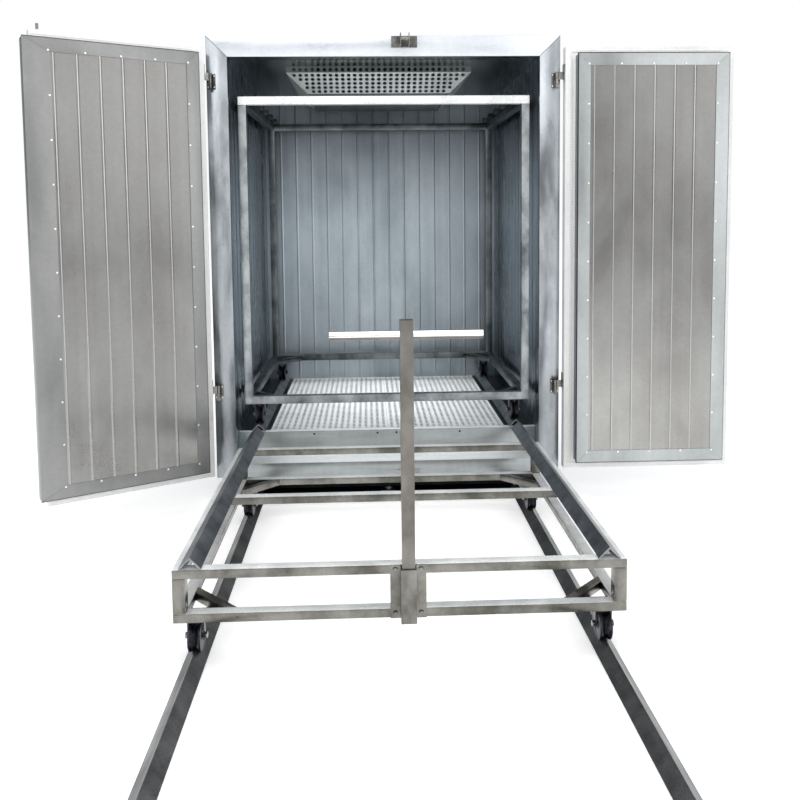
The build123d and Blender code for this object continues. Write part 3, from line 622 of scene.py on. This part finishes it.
# Painted highlight on the upper part of the bar.
repaint(
    handle.name,
    BAR_HIGHLIGHT,
    lambda f: abs(f.center.x - post_x) > outside_post and f.center.z > shine,
)

# %% [markdown]
# A wheel's groove rides on the corner of its rail. A wide bevel would fill the groove's
# root and touch the rail, so the wheels get the finer one.

# %% Wheels
for node in [n for n in NODES if "_wheel_" in n]:
    softened(node, f"{node}_turned", FINE_CORNER_MM, node, WHEEL_IRON)
print("wheels softened")

# %% [markdown]
# Folded sheet has round corners too, of a few millimetres. Where two mitred strips meet,
# the two bends leave a fine groove.

# %% Soften the folded sheets
# Each row has the body, the finish and the bevel of the bend in millimetres
FOLDED = {
    "front_head": ("cabinet", HEAD_REFLECTION_SHEET, 2.5),
    "left_stile": ("cabinet", STILE_SHEET, 2.5),
    "right_stile": ("cabinet", STILE_SHEET, 2.5),
    "sill": ("cabinet", SILL_SHEET, 1.2),
    "left_door_leaf": ("left_door", LEAF_HIGHLIGHT_SHEET, 3.0),
    "right_door_leaf": ("right_door", LEAF_HIGHLIGHT_SHEET, 3.0),
    "left_door_plug": ("left_door", PLUG_SHADE_SHEET, 2.0),
    "right_door_plug": ("right_door", PLUG_SHADE_SHEET, 2.0),
    "left_door_trim": ("left_door", LEFT_TRIM_SHADED, 2.5),
    "right_door_trim": ("right_door", RIGHT_TRIM_LIT, 2.5),
}
for node, (body, material, bend_mm) in FOLDED.items():
    softened(node, f"{node}_folded", bend_mm, body, material)
print("folded sheets:", len(FOLDED))

# %% Ledge with painted light, head underside with painted shade, and chamber sheet on inner faces
repaint("sill_folded", LEDGE_LIGHT_SHEET, lambda f: f.normal.z > FACING)
# Painted shade on the head's downward faces.
repaint("front_head_folded", CEILING_SHADE_SHEET, lambda f: f.normal.z < -FACING)
repaint("left_stile_folded", CHAMBER_SHEET, lambda f: f.normal.x > FACING)
repaint("right_stile_folded", CHAMBER_SHEET, lambda f: f.normal.x < -FACING)

# %% [markdown]
# ## Rolled ribs
# The wall and door sheets are stiffened by ribs that a roller pressed into them, so a rib
# has two slopes and no steep side. On a copy of each sheet the top corners of every rib
# move towards the rib's middle. The slopes then catch light on one side only. The ribs
# inside the chamber look lower in the photograph than measured, so they are lowered, and
# the door ribs can be moved to the places that the photograph shows.

# %% Slope the ribs
RIB_SLOPE_MM = 5.5
RIB_HALF_MM = 8.0
INNER_LOWER_MM = 1.4
RIB_TOP_MM = 0.5
RIB_EDGE_GAP_MM = 1.0
CREST_MM = 0.2
RIB_SMOOTH_DEGREES = 3


def sloped_ribs(piece, outward, along, row=None, lower_mm=0.0):
    """Slopes every rib's sides. With a row (first, pitch), the ribs also move to it."""
    reach = max(v.co.dot(outward) for v in piece.data.vertices)
    tops = [v for v in piece.data.vertices if v.co.dot(outward) > reach - RIB_TOP_MM * MM]
    edges = []
    for value in sorted(v.co.dot(along) for v in tops):
        if not edges or value - edges[-1] > RIB_EDGE_GAP_MM * MM:
            edges.append(value)
    middles = [(low + high) / 2 for low, high in zip(edges[::2], edges[1::2])]
    for vertex in tops:
        value = vertex.co.dot(along)
        nearest = min(middles, key=lambda middle: abs(middle - value))
        way = 1 if value < nearest else -1
        vertex.co += along * way * RIB_SLOPE_MM * MM - outward * lower_mm * MM
    if row:
        start = min(v.co.dot(along) for v in piece.data.vertices) + row[0] * MM
        for vertex in piece.data.vertices:
            value = vertex.co.dot(along)
            nearest = min(range(len(middles)), key=lambda i: abs(middles[i] - value))
            if abs(middles[nearest] - value) < RIB_HALF_MM * MM:
                vertex.co += along * (start + nearest * row[1] * MM - middles[nearest])
    return len(middles)


def ribbed(node, body, material, directions, crest=None, row=None, lowered=()):
    """A measured sheet with sloped ribs. A painted highlight goes on the tops of its ribs."""
    piece = merged_copy(node, f"{node}_rolled")
    ribs = []
    for outward, along in directions:
        lower_mm = INNER_LOWER_MM if outward in lowered else 0.0
        ribs.append(sloped_ribs(piece, outward, along, row, lower_mm))
    piece.data.update()
    bpy.ops.object.shade_smooth_by_angle(angle=radians(RIB_SMOOTH_DEGREES))
    give(piece, material)
    # Painted highlight on the rib tops.
    if crest:
        piece.data.materials.append(crest)
        outward = directions[0][0]
        reach = max(v.co.dot(outward) for v in piece.data.vertices)
        for face in piece.data.polygons:
            if face.center.dot(outward) > reach - CREST_MM * MM:
                face.material_index = 1
    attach(piece, body)
    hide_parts(node)
    deselect()
    print(piece.name, "ribs", ribs)


X_WAY, Y_WAY = Vector((1, 0, 0)), Vector((0, 1, 0))
for hand, inner in (("left", X_WAY), ("right", -X_WAY)):
    directions = [(inner, Y_WAY), (-inner, Y_WAY)]
    ribbed(f"{hand}_wall", "cabinet", CHAMBER_SHEET, directions, lowered=[inner])
ribbed(
    "back_wall", "cabinet", BACK_SHEET, [(Y_WAY, X_WAY), (-Y_WAY, X_WAY)], lowered=[-Y_WAY]
)

# %% [markdown]
# ## The perforated floor
# Warm air rises through sheets punched with round holes. One cell is a square with one
# hole: a circle is extruded once and its outer ring is pushed onto the square. Two arrays
# repeat the cell, and Solidify gives the sheet its thickness.

# %% One punched cell
HOLE_PITCH_MM = 30.0
HOLE_MM = 20.5
HOLE_SIDES = 12
SHEET_MARGIN_MM = 5.0
CELL_MERGE_MM = 0.05


def punched_cell(pitch_x, pitch_y, hole):
    """A flat square cell with a round hole in its middle, at the origin."""
    deselect()
    bpy.ops.mesh.primitive_circle_add(
        vertices=HOLE_SIDES, radius=hole / 2, rotation=(0, 0, radians(180 / HOLE_SIDES))
    )
    cell = bpy.context.active_object
    freeze()
    bpy.ops.object.mode_set(mode="EDIT")
    bpy.ops.mesh.select_all(action="SELECT")
    bpy.ops.mesh.extrude_edges_move(TRANSFORM_OT_translate={"value": (0, 0, 0)})
    bpy.ops.object.mode_set(mode="OBJECT")
    for vertex in cell.data.vertices:
        if vertex.select:
            reach = max(abs(vertex.co.x) / (pitch_x / 2), abs(vertex.co.y) / (pitch_y / 2))
            vertex.co /= reach
    return cell


def punched_field(name, low, high, thickness):
    """A punched sheet between two corners, whose plain margins close it at its edges."""
    margin = SHEET_MARGIN_MM * MM
    width = high.x - low.x - 2 * margin
    depth = high.y - low.y - 2 * margin
    columns = round(width / (HOLE_PITCH_MM * MM))
    rows = round(depth / (HOLE_PITCH_MM * MM))
    pitch_x, pitch_y = width / columns, depth / rows
    field = punched_cell(pitch_x, pitch_y, HOLE_MM * MM)
    field.name = name
    for axis, count, pitch in ((0, columns, pitch_x), (1, rows, pitch_y)):
        step = [0, 0, 0]
        step[axis] = pitch
        apply_modifier(
            field,
            "ARRAY",
            count=count,
            use_relative_offset=False,
            use_constant_offset=True,
            constant_offset_displace=step,
            use_merge_vertices=True,
            merge_threshold=CELL_MERGE_MM * MM,
        )
    field.location = (low.x + margin + pitch_x / 2, low.y + margin + pitch_y / 2, high.z)
    freeze()
    middle = (low + high) / 2
    bpy.ops.mesh.primitive_plane_add(size=1, location=(middle.x, middle.y, high.z))
    border = bpy.context.active_object
    border.scale = (high.x - low.x, high.y - low.y, 1)
    freeze()
    bpy.ops.object.mode_set(mode="EDIT")
    bpy.ops.mesh.select_all(action="SELECT")
    bpy.ops.mesh.inset(thickness=margin)
    bpy.ops.mesh.delete(type="FACE")
    bpy.ops.object.mode_set(mode="OBJECT")
    field = joined([field, border])
    bpy.ops.object.mode_set(mode="EDIT")
    bpy.ops.mesh.select_all(action="SELECT")
    bpy.ops.mesh.normals_make_consistent(inside=False)
    bpy.ops.object.mode_set(mode="OBJECT")
    if field.data.polygons[0].normal.z < 0:
        field.data.flip_normals()
    apply_modifier(field, "SOLIDIFY", thickness=thickness, offset=-1.0)
    return field, columns * rows


# %% Floor sheets
HALF_SEAM_MM = 0.5


def punched_floor(node):
    """Two punched sheets side by side in place of one measured pair."""
    low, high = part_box(node)
    seam = HALF_SEAM_MM * MM
    halves = []
    holes = 0
    for left, right_edge in ((low.x, -seam), (seam, high.x)):
        half, count = punched_field(
            f"{node}_half",
            Vector((left, low.y, low.z)),
            Vector((right_edge, high.y, high.z)),
            high.z - low.z,
        )
        halves.append(half)
        holes += count
    piece = joined(halves)
    piece.name = f"{node}_punched"
    give(piece, FLOOR_SHEET)
    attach(piece, "cabinet")
    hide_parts(node)
    deselect()
    print(piece.name, "holes", holes, "faces", len(piece.data.polygons))


for node in ("floor_sheets_front", "floor_sheets_back"):
    punched_floor(node)

# %% [markdown]
# ## The air duct under the ceiling
# The duct hangs as an upright collar of sheet with four sloping sides below it, and all of
# them are punched. The holes are cut by a Boolean with bundles of pins. Every row keeps to
# the same columns and stops where the slanted edge comes too near, as a punch does.

# %% Punched duct
DUCT_HOLE_MM = 20.0
DUCT_PITCH_MM = 31.0
DUCT_ROW_MM = 26.4
DUCT_FIRST_ROW_MM = 18.0
DUCT_ROWS = 5
DUCT_EDGE_MM = 22.0
PIN_LENGTH_MM = 24
EDGE_ON = 0.2
FACE_ON = 0.95
duct_low, duct_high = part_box("ceiling_duct")
duct_corners = [v.co for v in NODES["ceiling_duct"].data.vertices]
near = 0.5 * MM
foot_x = max(v.x for v in duct_corners if v.z < duct_low.z + near)
collar_z = min(v.z for v in duct_corners if v.x > duct_high.x - near)
duct_inset = duct_high.x - foot_x
duct_drop = collar_z - duct_low.z
slope_length = (duct_inset**2 + duct_drop**2) ** 0.5
print("duct inset", round(duct_inset, 3), "slope", round(slope_length, 3))


def pin(direction, radius, length):
    """A round pin through the origin, to cut holes with."""
    deselect()
    bpy.ops.mesh.primitive_cylinder_add(
        vertices=HOLE_SIDES,
        radius=radius,
        depth=length,
        rotation=direction.to_track_quat("Z", "Y").to_euler(),
    )
    return bpy.context.active_object


def copies(pattern, places, name):
    """Copies of one small piece at many places, joined into a single object."""
    made = []
    for place in places:
        twin = bpy.data.objects.new(name, pattern.data.copy())
        bpy.context.scene.collection.objects.link(twin)
        twin.matrix_world = Matrix.Translation(place) @ pattern.matrix_world.to_3x3().to_4x4()
        made.append(twin)
    bpy.data.objects.remove(pattern)
    piece = joined(made)
    freeze()
    piece.name = name
    return piece


middle = (duct_low + duct_high) / 2
half_size = (duct_high - duct_low) / 2
collar_middle = Vector((middle.x, middle.y, (collar_z + duct_high.z) / 2))


def duct_columns(reach):
    """Places of the columns of holes that lie within this reach of the middle."""
    count = int(2 * half_size.x / (DUCT_PITCH_MM * MM)) + 1
    row = [(index - (count - 1) / 2) * DUCT_PITCH_MM * MM for index in range(count)]
    return [x for x in row if abs(x) <= reach - DUCT_EDGE_MM * MM]


bundles = []
for quarter in range(4):
    around = Matrix.Rotation(radians(90 * quarter), 3, "Z")
    wide_reach, out_reach = half_size.xy if quarter % 2 == 0 else half_size.yx
    collar = [
        around @ Vector((x, -out_reach, 0)) + collar_middle for x in duct_columns(wide_reach)
    ]
    slope = []
    for row in range(DUCT_ROWS):
        share = (DUCT_FIRST_ROW_MM + row * DUCT_ROW_MM) * MM / slope_length
        for x in duct_columns(wide_reach - duct_inset * share):
            out = around @ Vector((x, -(out_reach - duct_inset * share), 0))
            slope.append(out + Vector((middle.x, middle.y, collar_z - duct_drop * share)))
    for places, outward in ((collar, (0, -1, 0)), (slope, (0, -duct_drop, -duct_inset))):
        direction = around @ Vector(outward).normalized()
        pattern = pin(direction, DUCT_HOLE_MM / 2 * MM, PIN_LENGTH_MM * MM)
        bundles.append(copies(pattern, places, "pins"))
duct = merged_copy("ceiling_duct", "ceiling_duct_punched")
for bundle in bundles:
    apply_modifier(duct, "BOOLEAN", operation="DIFFERENCE", object=bundle, solver="EXACT")
for bundle in bundles:
    bpy.data.objects.remove(bundle)
bpy.ops.object.shade_smooth_by_angle(angle=radians(SMOOTH_DEGREES))
give(duct, DUCT_SHEET)
# Painted shade: the collar's upright faces and the duct's downward faces get darker sheets.
repaint(duct.name, COLLAR_SHADE_SHEET, lambda f: abs(f.normal.z) < EDGE_ON and f.center.z > collar_z)
repaint(duct.name, CEILING_SHADE_SHEET, lambda f: f.normal.z < -FACE_ON)
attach(duct, "cabinet")
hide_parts("ceiling_duct")
deselect()
print("duct faces", len(duct.data.polygons))

# %% [markdown]
# ## Doors
# Each door turns about its hinge pin, so its details are placed in the door's own
# directions: along the leaf, out of its inner face, and up. The pin's place comes from the
# joint, and the angles are those at which the doors stand open at rest.


# %% Door directions
def hinge_of(name):
    joint = next(j for j in frame["joints"] if j["name"] == name)
    return Vector((joint["pos_m"][0], joint["pos_m"][1], 0))


class Door:
    """A door's own directions: along it from the pin, out of its inner face, and up."""

    def __init__(self, hand, angle):
        side = -1 if hand == "left" else 1
        self.hand = hand
        self.pin = hinge_of(f"{hand}_door_hinge")
        open_by = radians(angle)
        self.along = Vector((-side * cos(open_by), -sin(open_by), 0))
        self.inward = Vector((-self.along.y, self.along.x, 0)) * -side
        self.body = f"{hand}_door"

    def span(self, part, direction):
        """How far a part of this door reaches along one direction."""
        corners = NODES[f"{self.body}_{part}"].data.vertices
        reach = [(v.co - self.pin).dot(direction) for v in corners]
        return min(reach), max(reach)

    def place(self, along, inward, height):
        """The point at these distances in the door's own directions."""
        return self.pin + self.along * along + self.inward * inward + Vector((0, 0, height))


LEFT_OPENING = 150
RIGHT_OPENING = 180
DOORS = [Door("left", LEFT_OPENING), Door("right", RIGHT_OPENING)]
for door in DOORS:
    print(door.body, "plug from", [round(v, 3) for v in door.span("plug", door.along)])

# %% [markdown]
# The rope seal lies round the plug, half sunk in the leaf. It is a curve with a round
# bevel, turned into a mesh, and it stands for the plain measured strip. Its side towards
# the frame is flat. On the left door it is open at the meeting edge.

# %% Rope seals
ROPE_MM = 18.0
SEAL_STRIP_MM = 14.0
ROPE_SINK = 0.55
ROUND_DEGREES = 40


def rope(door):
    """The rope seal of one door."""
    low_x, high_x = door.span("seal", door.along)
    high_n = door.span("seal", door.inward)[1]
    low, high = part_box(f"{door.body}_seal")
    radius = ROPE_MM / 2 * MM
    depth = high_n - radius * ROPE_SINK
    inner = (SEAL_STRIP_MM - ROPE_MM / 2) * MM
    left, floor, top = low_x + inner, low.z + inner, high.z - inner
    far = high_x - inner if door.hand == "right" else high_x - radius
    corners = [(far, floor), (left, floor), (left, top), (far, top)]
    curve = bpy.data.curves.new(f"{door.body}_rope", "CURVE")
    curve.dimensions = "3D"
    curve.bevel_depth = radius
    curve.bevel_resolution = 2
    curve.use_fill_caps = True
    spline = curve.splines.new("POLY")
    spline.points.add(len(corners) - 1)
    spline.use_cyclic_u = door.hand == "right"
    for point, (along, height) in zip(spline.points, corners):
        point.co = (*door.place(along, depth, height), 1)
    piece = bpy.data.objects.new(curve.name, curve)
    bpy.context.scene.collection.objects.link(piece)
    select_only(piece)
    bpy.ops.object.convert(target="MESH")
    piece = bpy.context.active_object
    for vertex in piece.data.vertices:
        over = (vertex.co - door.pin).dot(door.inward) - high_n
        if over > 0:
            vertex.co -= door.inward * over
    bpy.ops.object.shade_smooth_by_angle(angle=radians(ROUND_DEGREES))
    give(piece, GLASS_ROPE)
    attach(piece, door.body)
    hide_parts(f"{door.body}_seal")
    deselect()
    print(piece.name, len(piece.data.polygons), "faces")


for door in DOORS:
    rope(door)

# %% Door panels
# First rib and pitch, in millimetres from the panel's edge at the hinge
DOOR_RIB_ROWS = {"left": (94, 95), "right": (19, 96)}
for door in DOORS:
    row = DOOR_RIB_ROWS[door.hand]
    directions = [(door.inward, door.along)]
    ribbed(f"{door.body}_panel", door.body, DOOR_SHEET, directions, CREST_HIGHLIGHT, row)

# %% [markdown]
# A thin black lip stands out round each plug, just behind the trim, and narrows the gap to the
# doorway when the door is shut. It is painted shadow: a dark strip where the plug shades the
# leaf. Each strip of it is a cube sized and moved in the door's own directions.

# %% Painted shadow lips round the plugs
LIP_MM = 4.0
LIP_THICKNESS_MM = 3.0


def lip(door):
    """The black lip of painted shadow round one door's plug."""
    near, far = door.span("plug", door.along)
    face = door.span("plug", door.inward)[1]
    low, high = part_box(f"{door.body}_plug")
    out, thick = LIP_MM * MM, LIP_THICKNESS_MM * MM
    far_out = far + out if door.hand == "right" else far
    strips = [
        ((near - out, near), (low.z - out, high.z + out)),
        ((near, far_out), (low.z - out, low.z)),
        ((near, far_out), (high.z, high.z + out)),
    ]
    if door.hand == "right":
        strips.append(((far, far_out), (low.z, high.z)))
    made = []
    for along, height in strips:
        deselect()
        centre = door.place(sum(along) / 2, face - thick / 2, sum(height) / 2)
        bpy.ops.mesh.primitive_cube_add(size=1)
        strip = bpy.context.active_object
        strip.scale = (along[1] - along[0], thick, height[1] - height[0])
        strip.rotation_euler = (0, 0, atan2(door.along.y, door.along.x))
        strip.location = centre
        freeze()
        made.append(strip)
    piece = joined(made)
    piece.name = f"{door.body}_lip"
    give(piece, PLUG_SHADOW)
    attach(piece, door.body)
    deselect()
    print(piece.name, len(strips), "strips")


for door in DOORS:
    lip(door)

# %% [markdown]
# Pop rivets hold the trim round each inner panel. One rivet is a low dome: a short
# cylinder whose top edge is bevelled in edit mode. It is then copied along the four rows.


# %% Rivets
HEAD_SIDES = 10
HEAD_ROUND_SHARE = 0.6


def dome(radius, height, direction):
    """A low round head that stands on the origin and points in a direction."""
    deselect()
    bpy.ops.mesh.primitive_cylinder_add(vertices=HEAD_SIDES, radius=radius, depth=height)
    head = bpy.context.active_object
    head.location = (0, 0, height / 2)
    freeze()
    bpy.ops.object.mode_set(mode="EDIT")
    bpy.ops.mesh.select_mode(type="FACE")
    bpy.ops.mesh.select_all(action="DESELECT")
    bpy.ops.object.mode_set(mode="OBJECT")
    for face in head.data.polygons:
        face.select = face.normal.z > FACING
    bpy.ops.object.mode_set(mode="EDIT")
    bpy.ops.mesh.bevel(offset=height * HEAD_ROUND_SHARE, segments=2)
    bpy.ops.object.mode_set(mode="OBJECT")
    head.rotation_euler = direction.to_track_quat("Z", "Y").to_euler()
    bpy.context.view_layer.update()
    return head


def fixings(name, pattern, places, body, material=PLATED):
    """One piece made of copies of a rivet, a screw or a nut at all its places."""
    piece = copies(pattern, places, name)
    bpy.ops.object.shade_smooth_by_angle(angle=radians(ROUND_DEGREES))
    give(piece, material)
    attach(piece, body)
    deselect()
    print(name, len(places), "copies")


def evenly(start, end, spacing):
    """Places from start to end, both included, at about this spacing."""
    count = max(round((end - start) / spacing), 1)
    return [start + (end - start) * i / count for i in range(count + 1)]


RIVET_MM = 9.0
RIVET_HEIGHT_MM = 2.5
RIVET_PITCH_MM = {"across": 150.0, "up": 188.0}
RIVET_INSET_MM = 7.0
for door in DOORS:
    inset = RIVET_INSET_MM * MM
    panel_x = door.span("panel", door.along)
    box_low, box_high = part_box(f"{door.body}_panel")
    face = door.span("trim", door.inward)[1]
    left, far = panel_x[0] - inset, panel_x[1] + inset
    floor, top = box_low.z - inset, box_high.z + inset
    spots = []
    for height in evenly(floor, top, RIVET_PITCH_MM["up"] * MM):
        spots += [door.place(left, face, height), door.place(far, face, height)]
    for along in evenly(left, far, RIVET_PITCH_MM["across"] * MM)[1:-1]:
        spots += [door.place(along, face, floor), door.place(along, face, top)]
    fixings(
        f"{door.body}_rivets",
        dome(RIVET_MM / 2 * MM, RIVET_HEIGHT_MM * MM, door.inward),
        spots,
        door.body,
        BRIGHT_HEAD,
    )

# %% [markdown]
# ## Screws and nuts
# The sill's riser is screwed to the floor with dark screws. Its face stands in front of the
# lip that lies on the floor, by the lip and one sheet. Every wheel turns on a bolt whose
# nuts show outside the fork's cheeks.

# %% Sill screws
SCREW_PLACES_MM = (-690, -374, -54, 42, 364, 690)
SCREW_DROP_MM = 17
SCREW_RADIUS_MM = 5
SCREW_HEIGHT_MM = 3
SILL_LIP_MM = 30
SILL_SHEET_MM = 3
TOP_MM = 1.0
sill_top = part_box("sill")[1].z
lip_y = max(v.co.y for v in NODES["sill"].data.vertices if v.co.z > sill_top - TOP_MM * MM)
riser_y = lip_y - (SILL_LIP_MM + SILL_SHEET_MM) * MM
toward_front = Vector((0, -1, 0))
fixings(
    "sill_screws",
    dome(SCREW_RADIUS_MM * MM, SCREW_HEIGHT_MM * MM, toward_front),
    [Vector((x * MM, riser_y, sill_top - SCREW_DROP_MM * MM)) for x in SCREW_PLACES_MM],
    "cabinet",
    DARK_SCREWS_AND_BASE_SHADE,
)


# %% Wheel nuts
CHAMFER_SHARE = 0.12
CHAMFER_DEGREES = 50
AXLE_NUT_MM = 19
AXLE_NUT_HEIGHT_MM = 8
CHEEK_MM = 27


def hexagon(across, height, direction):
    """A hexagon nut with chamfered corners, standing on the origin."""
    deselect()
    bpy.ops.mesh.primitive_cylinder_add(vertices=6, radius=across / 3**0.5, depth=height)
    nut = bpy.context.active_object
    nut.location = (0, 0, height / 2)
    freeze()
    apply_modifier(
        nut,
        "BEVEL",
        width=height * CHAMFER_SHARE,
        segments=1,
        limit_method="ANGLE",
        angle_limit=radians(CHAMFER_DEGREES),
    )
    nut.rotation_euler = direction.to_track_quat("Z", "Y").to_euler()
    bpy.context.view_layer.update()
    return nut


for carriage in ("trolley", "rack"):
    centres = []
    for node in NODES:
        if node.startswith(f"{carriage}_wheel_"):
            low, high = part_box(node)
            centres.append((low + high) / 2)
    for way, hand in ((-1, "left"), (1, "right")):
        fixings(
            f"{carriage}_axle_nuts_{hand}",
            hexagon(AXLE_NUT_MM * MM, AXLE_NUT_HEIGHT_MM * MM, Vector((way, 0, 0))),
            [c + Vector((way * CHEEK_MM * MM, 0, 0)) for c in centres],
            carriage,
        )

# %% Lock nuts of the feet
FOOT_NUT_MM = 36
FOOT_NUT_HEIGHT_MM = 9
FOOT_PAD_MM = 12
FOOT_RADIUS_MM = 40
feet_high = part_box("levelling_feet")[1]
reach_x = feet_high.x - FOOT_RADIUS_MM * MM
reach_y = feet_high.y - FOOT_RADIUS_MM * MM
fixings(
    "foot_lock_nuts",
    hexagon(FOOT_NUT_MM * MM, FOOT_NUT_HEIGHT_MM * MM, Vector((0, 0, 1))),
    [
        Vector((x * reach_x, y * reach_y, FOOT_PAD_MM * MM))
        for x in (-1, 0, 1)
        for y in (-1, 0, 1)
    ],
    "cabinet",
)

# %% Hinge screws
HINGE_PLATE_MM = 4
HINGE_PLATE_HEIGHT_MM = 72
HINGE_SCREW_DROPS_MM = (10, 62)
HINGE_SCREW_SHIFTS_MM = (-14, 14)
HINGE_SCREW_RADIUS_MM = 4
HINGE_SCREW_HEIGHT_MM = 2.5
hinge_low, hinge_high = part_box("frame_hinges")
plate_y = min(v.co.y for v in NODES["left_stile"].data.vertices) - HINGE_PLATE_MM * MM
screws = []
for side in (-1, 1):
    middle_x = side * abs(hinge_of("left_door_hinge").x)
    for top in (hinge_high.z, hinge_low.z + HINGE_PLATE_HEIGHT_MM * MM):
        for drop in HINGE_SCREW_DROPS_MM:
            for shift in HINGE_SCREW_SHIFTS_MM:
                screws.append(Vector((middle_x + shift * MM, plate_y, top - drop * MM)))
fixings(
    "hinge_screws",
    dome(HINGE_SCREW_RADIUS_MM * MM, HINGE_SCREW_HEIGHT_MM * MM, toward_front),
    screws,
    "cabinet",
    BRIGHT_HEAD,
)

# %% [markdown]
# ## Floor, light and background
# The object stands on a plain pale floor under soft lamps. The floor and the world look
# white to the camera and bright in mirrors, while the light on the object stays moderate.
# The ground right below the oven is painted black: a painted shadow.

# %% Studio floor
GROUND_METRES = 80
GROUND_DROP_MM = 0.5
SHADOW_HALF_WIDTH, SHADOW_FRONT, SHADOW_BACK = 0.77, -0.74, 0.72
CAMERA_GLOW = 0.3
MIRROR_GLOW = 0.65
bpy.ops.mesh.primitive_plane_add(size=GROUND_METRES, location=(0, 0, -GROUND_DROP_MM * MM))
ground = bpy.context.active_object
ground.name = "studio_floor"
paper = bpy.data.materials.new("matt_white_paper")
paper.use_nodes = True
paper_shader = paper.node_tree.nodes["Principled BSDF"]
paper_shader.inputs["Roughness"].default_value = 0.9
paper_shader.inputs["Specular IOR Level"].default_value = 0.1
paper_rays = add(paper, "ShaderNodeLightPath").outputs
paper_place = add(paper, "ShaderNodeTexCoord").outputs["Object"]
place = add(paper, "ShaderNodeSeparateXYZ", {"Vector": paper_place}).outputs


def maths(material, operation, first, second):
    """The result of one sum on numbers or sockets."""
    return add(material, "ShaderNodeMath", {0: first, 1: second}, operation=operation).outputs[0]


aside = maths(paper, "ABSOLUTE", place["X"], 0.0)
shade = maths(
    paper,
    "MULTIPLY",
    maths(paper, "LESS_THAN", aside, SHADOW_HALF_WIDTH),
    maths(paper, "GREATER_THAN", place["Y"], SHADOW_FRONT),
)
shade = maths(paper, "MULTIPLY", shade, maths(paper, "LESS_THAN", place["Y"], SHADOW_BACK))
lit = maths(paper, "SUBTRACT", 1.0, shade)
glow = maths(
    paper,
    "ADD",
    maths(paper, "MULTIPLY", paper_rays["Is Camera Ray"], CAMERA_GLOW),
    maths(paper, "MULTIPLY", paper_rays["Is Glossy Ray"], MIRROR_GLOW),
)
glow = maths(paper, "MULTIPLY", glow, lit)
paper_shader.inputs["Emission Color"].default_value = linear("#FFFFFF")
feed(paper, glow, paper_shader, "Emission Strength")
# Painted shadow: near black under the oven, white elsewhere.
feed(paper, mixed(paper, lit, linear("#060606"), linear("#FBFBFB")), paper_shader, "Base Color")
give(ground, paper)
deselect()

# %% [markdown]
# Mirror rays see a room that grows brighter upwards and to the right, so that bends show.
# Matt surfaces get an even and weaker light, and the camera sees plain white.

# %% World
# Each range has the lowest and highest direction, then the light that they give
ROOM_UPWARDS = (0.0, 0.9, 0.8, 1.2)
ROOM_RIGHTWARDS = (-0.7, 0.7, 0.55, 1.4)
MATT_LEVEL = 0.75
CAMERA_LEVEL = 1.0
world = bpy.data.worlds.new("studio")
bpy.context.scene.world = world
world.use_nodes = True
sky = world.node_tree.nodes["Background"]
towards = add(world, "ShaderNodeTexCoord").outputs["Generated"]
split = add(world, "ShaderNodeSeparateXYZ", {"Vector": towards}).outputs
upwards = mapped(world, split["Z"], *ROOM_UPWARDS)
rightwards = mapped(world, split["X"], *ROOM_RIGHTWARDS)
room = maths(world, "MULTIPLY", upwards, rightwards)
rays = add(world, "ShaderNodeLightPath").outputs
unseen = add(world, "ShaderNodeMix", {0: rays["Is Glossy Ray"], 2: MATT_LEVEL, 3: room})
level_mix = add(
    world, "ShaderNodeMix", {0: rays["Is Camera Ray"], 2: unseen.outputs[0], 3: CAMERA_LEVEL}
)
world.node_tree.links.new(level_mix.outputs[0], sky.inputs["Strength"])
sky.inputs["Color"].default_value = linear("#FFFFFF")

# %% [markdown]
# Three wide lamps hang in front of the oven and above it. A small one with a narrow beam
# hangs inside the doorway and lights the chamber's floor, and mirrors don't show it.


# %% Lamps
def lamp(name, place, target, size, power, beam_degrees=180):
    """An area lamp. Places and sizes are in metres and the power is in watts."""
    data = bpy.data.lights.new(name, "AREA")
    data.spread = radians(beam_degrees)
    data.shape = "RECTANGLE"
    data.size, data.size_y = size
    data.energy = power
    light = bpy.data.objects.new(name, data)
    bpy.context.scene.collection.objects.link(light)
    light.location = place
    aim = Vector(target) - Vector(place)
    light.rotation_euler = aim.to_track_quat("-Z", "Y").to_euler()
    light.visible_camera = False
    light.visible_glossy = beam_degrees == 180


lamp("front_high", (-2.5, -8.0, 5.0), (0, 0, 1.2), (6, 3), 130)
lamp("front_right", (4.5, -6.5, 3.0), (0, -1, 1.0), (3, 3), 45)
lamp("overhead", (0, -1.5, 6.0), (0, -1.0, 0), (6, 5), 160)
lamp("doorway", (0, 0.1, 1.85), (0, 0.1, 0.3), (1.0, 0.9), 8, 70)
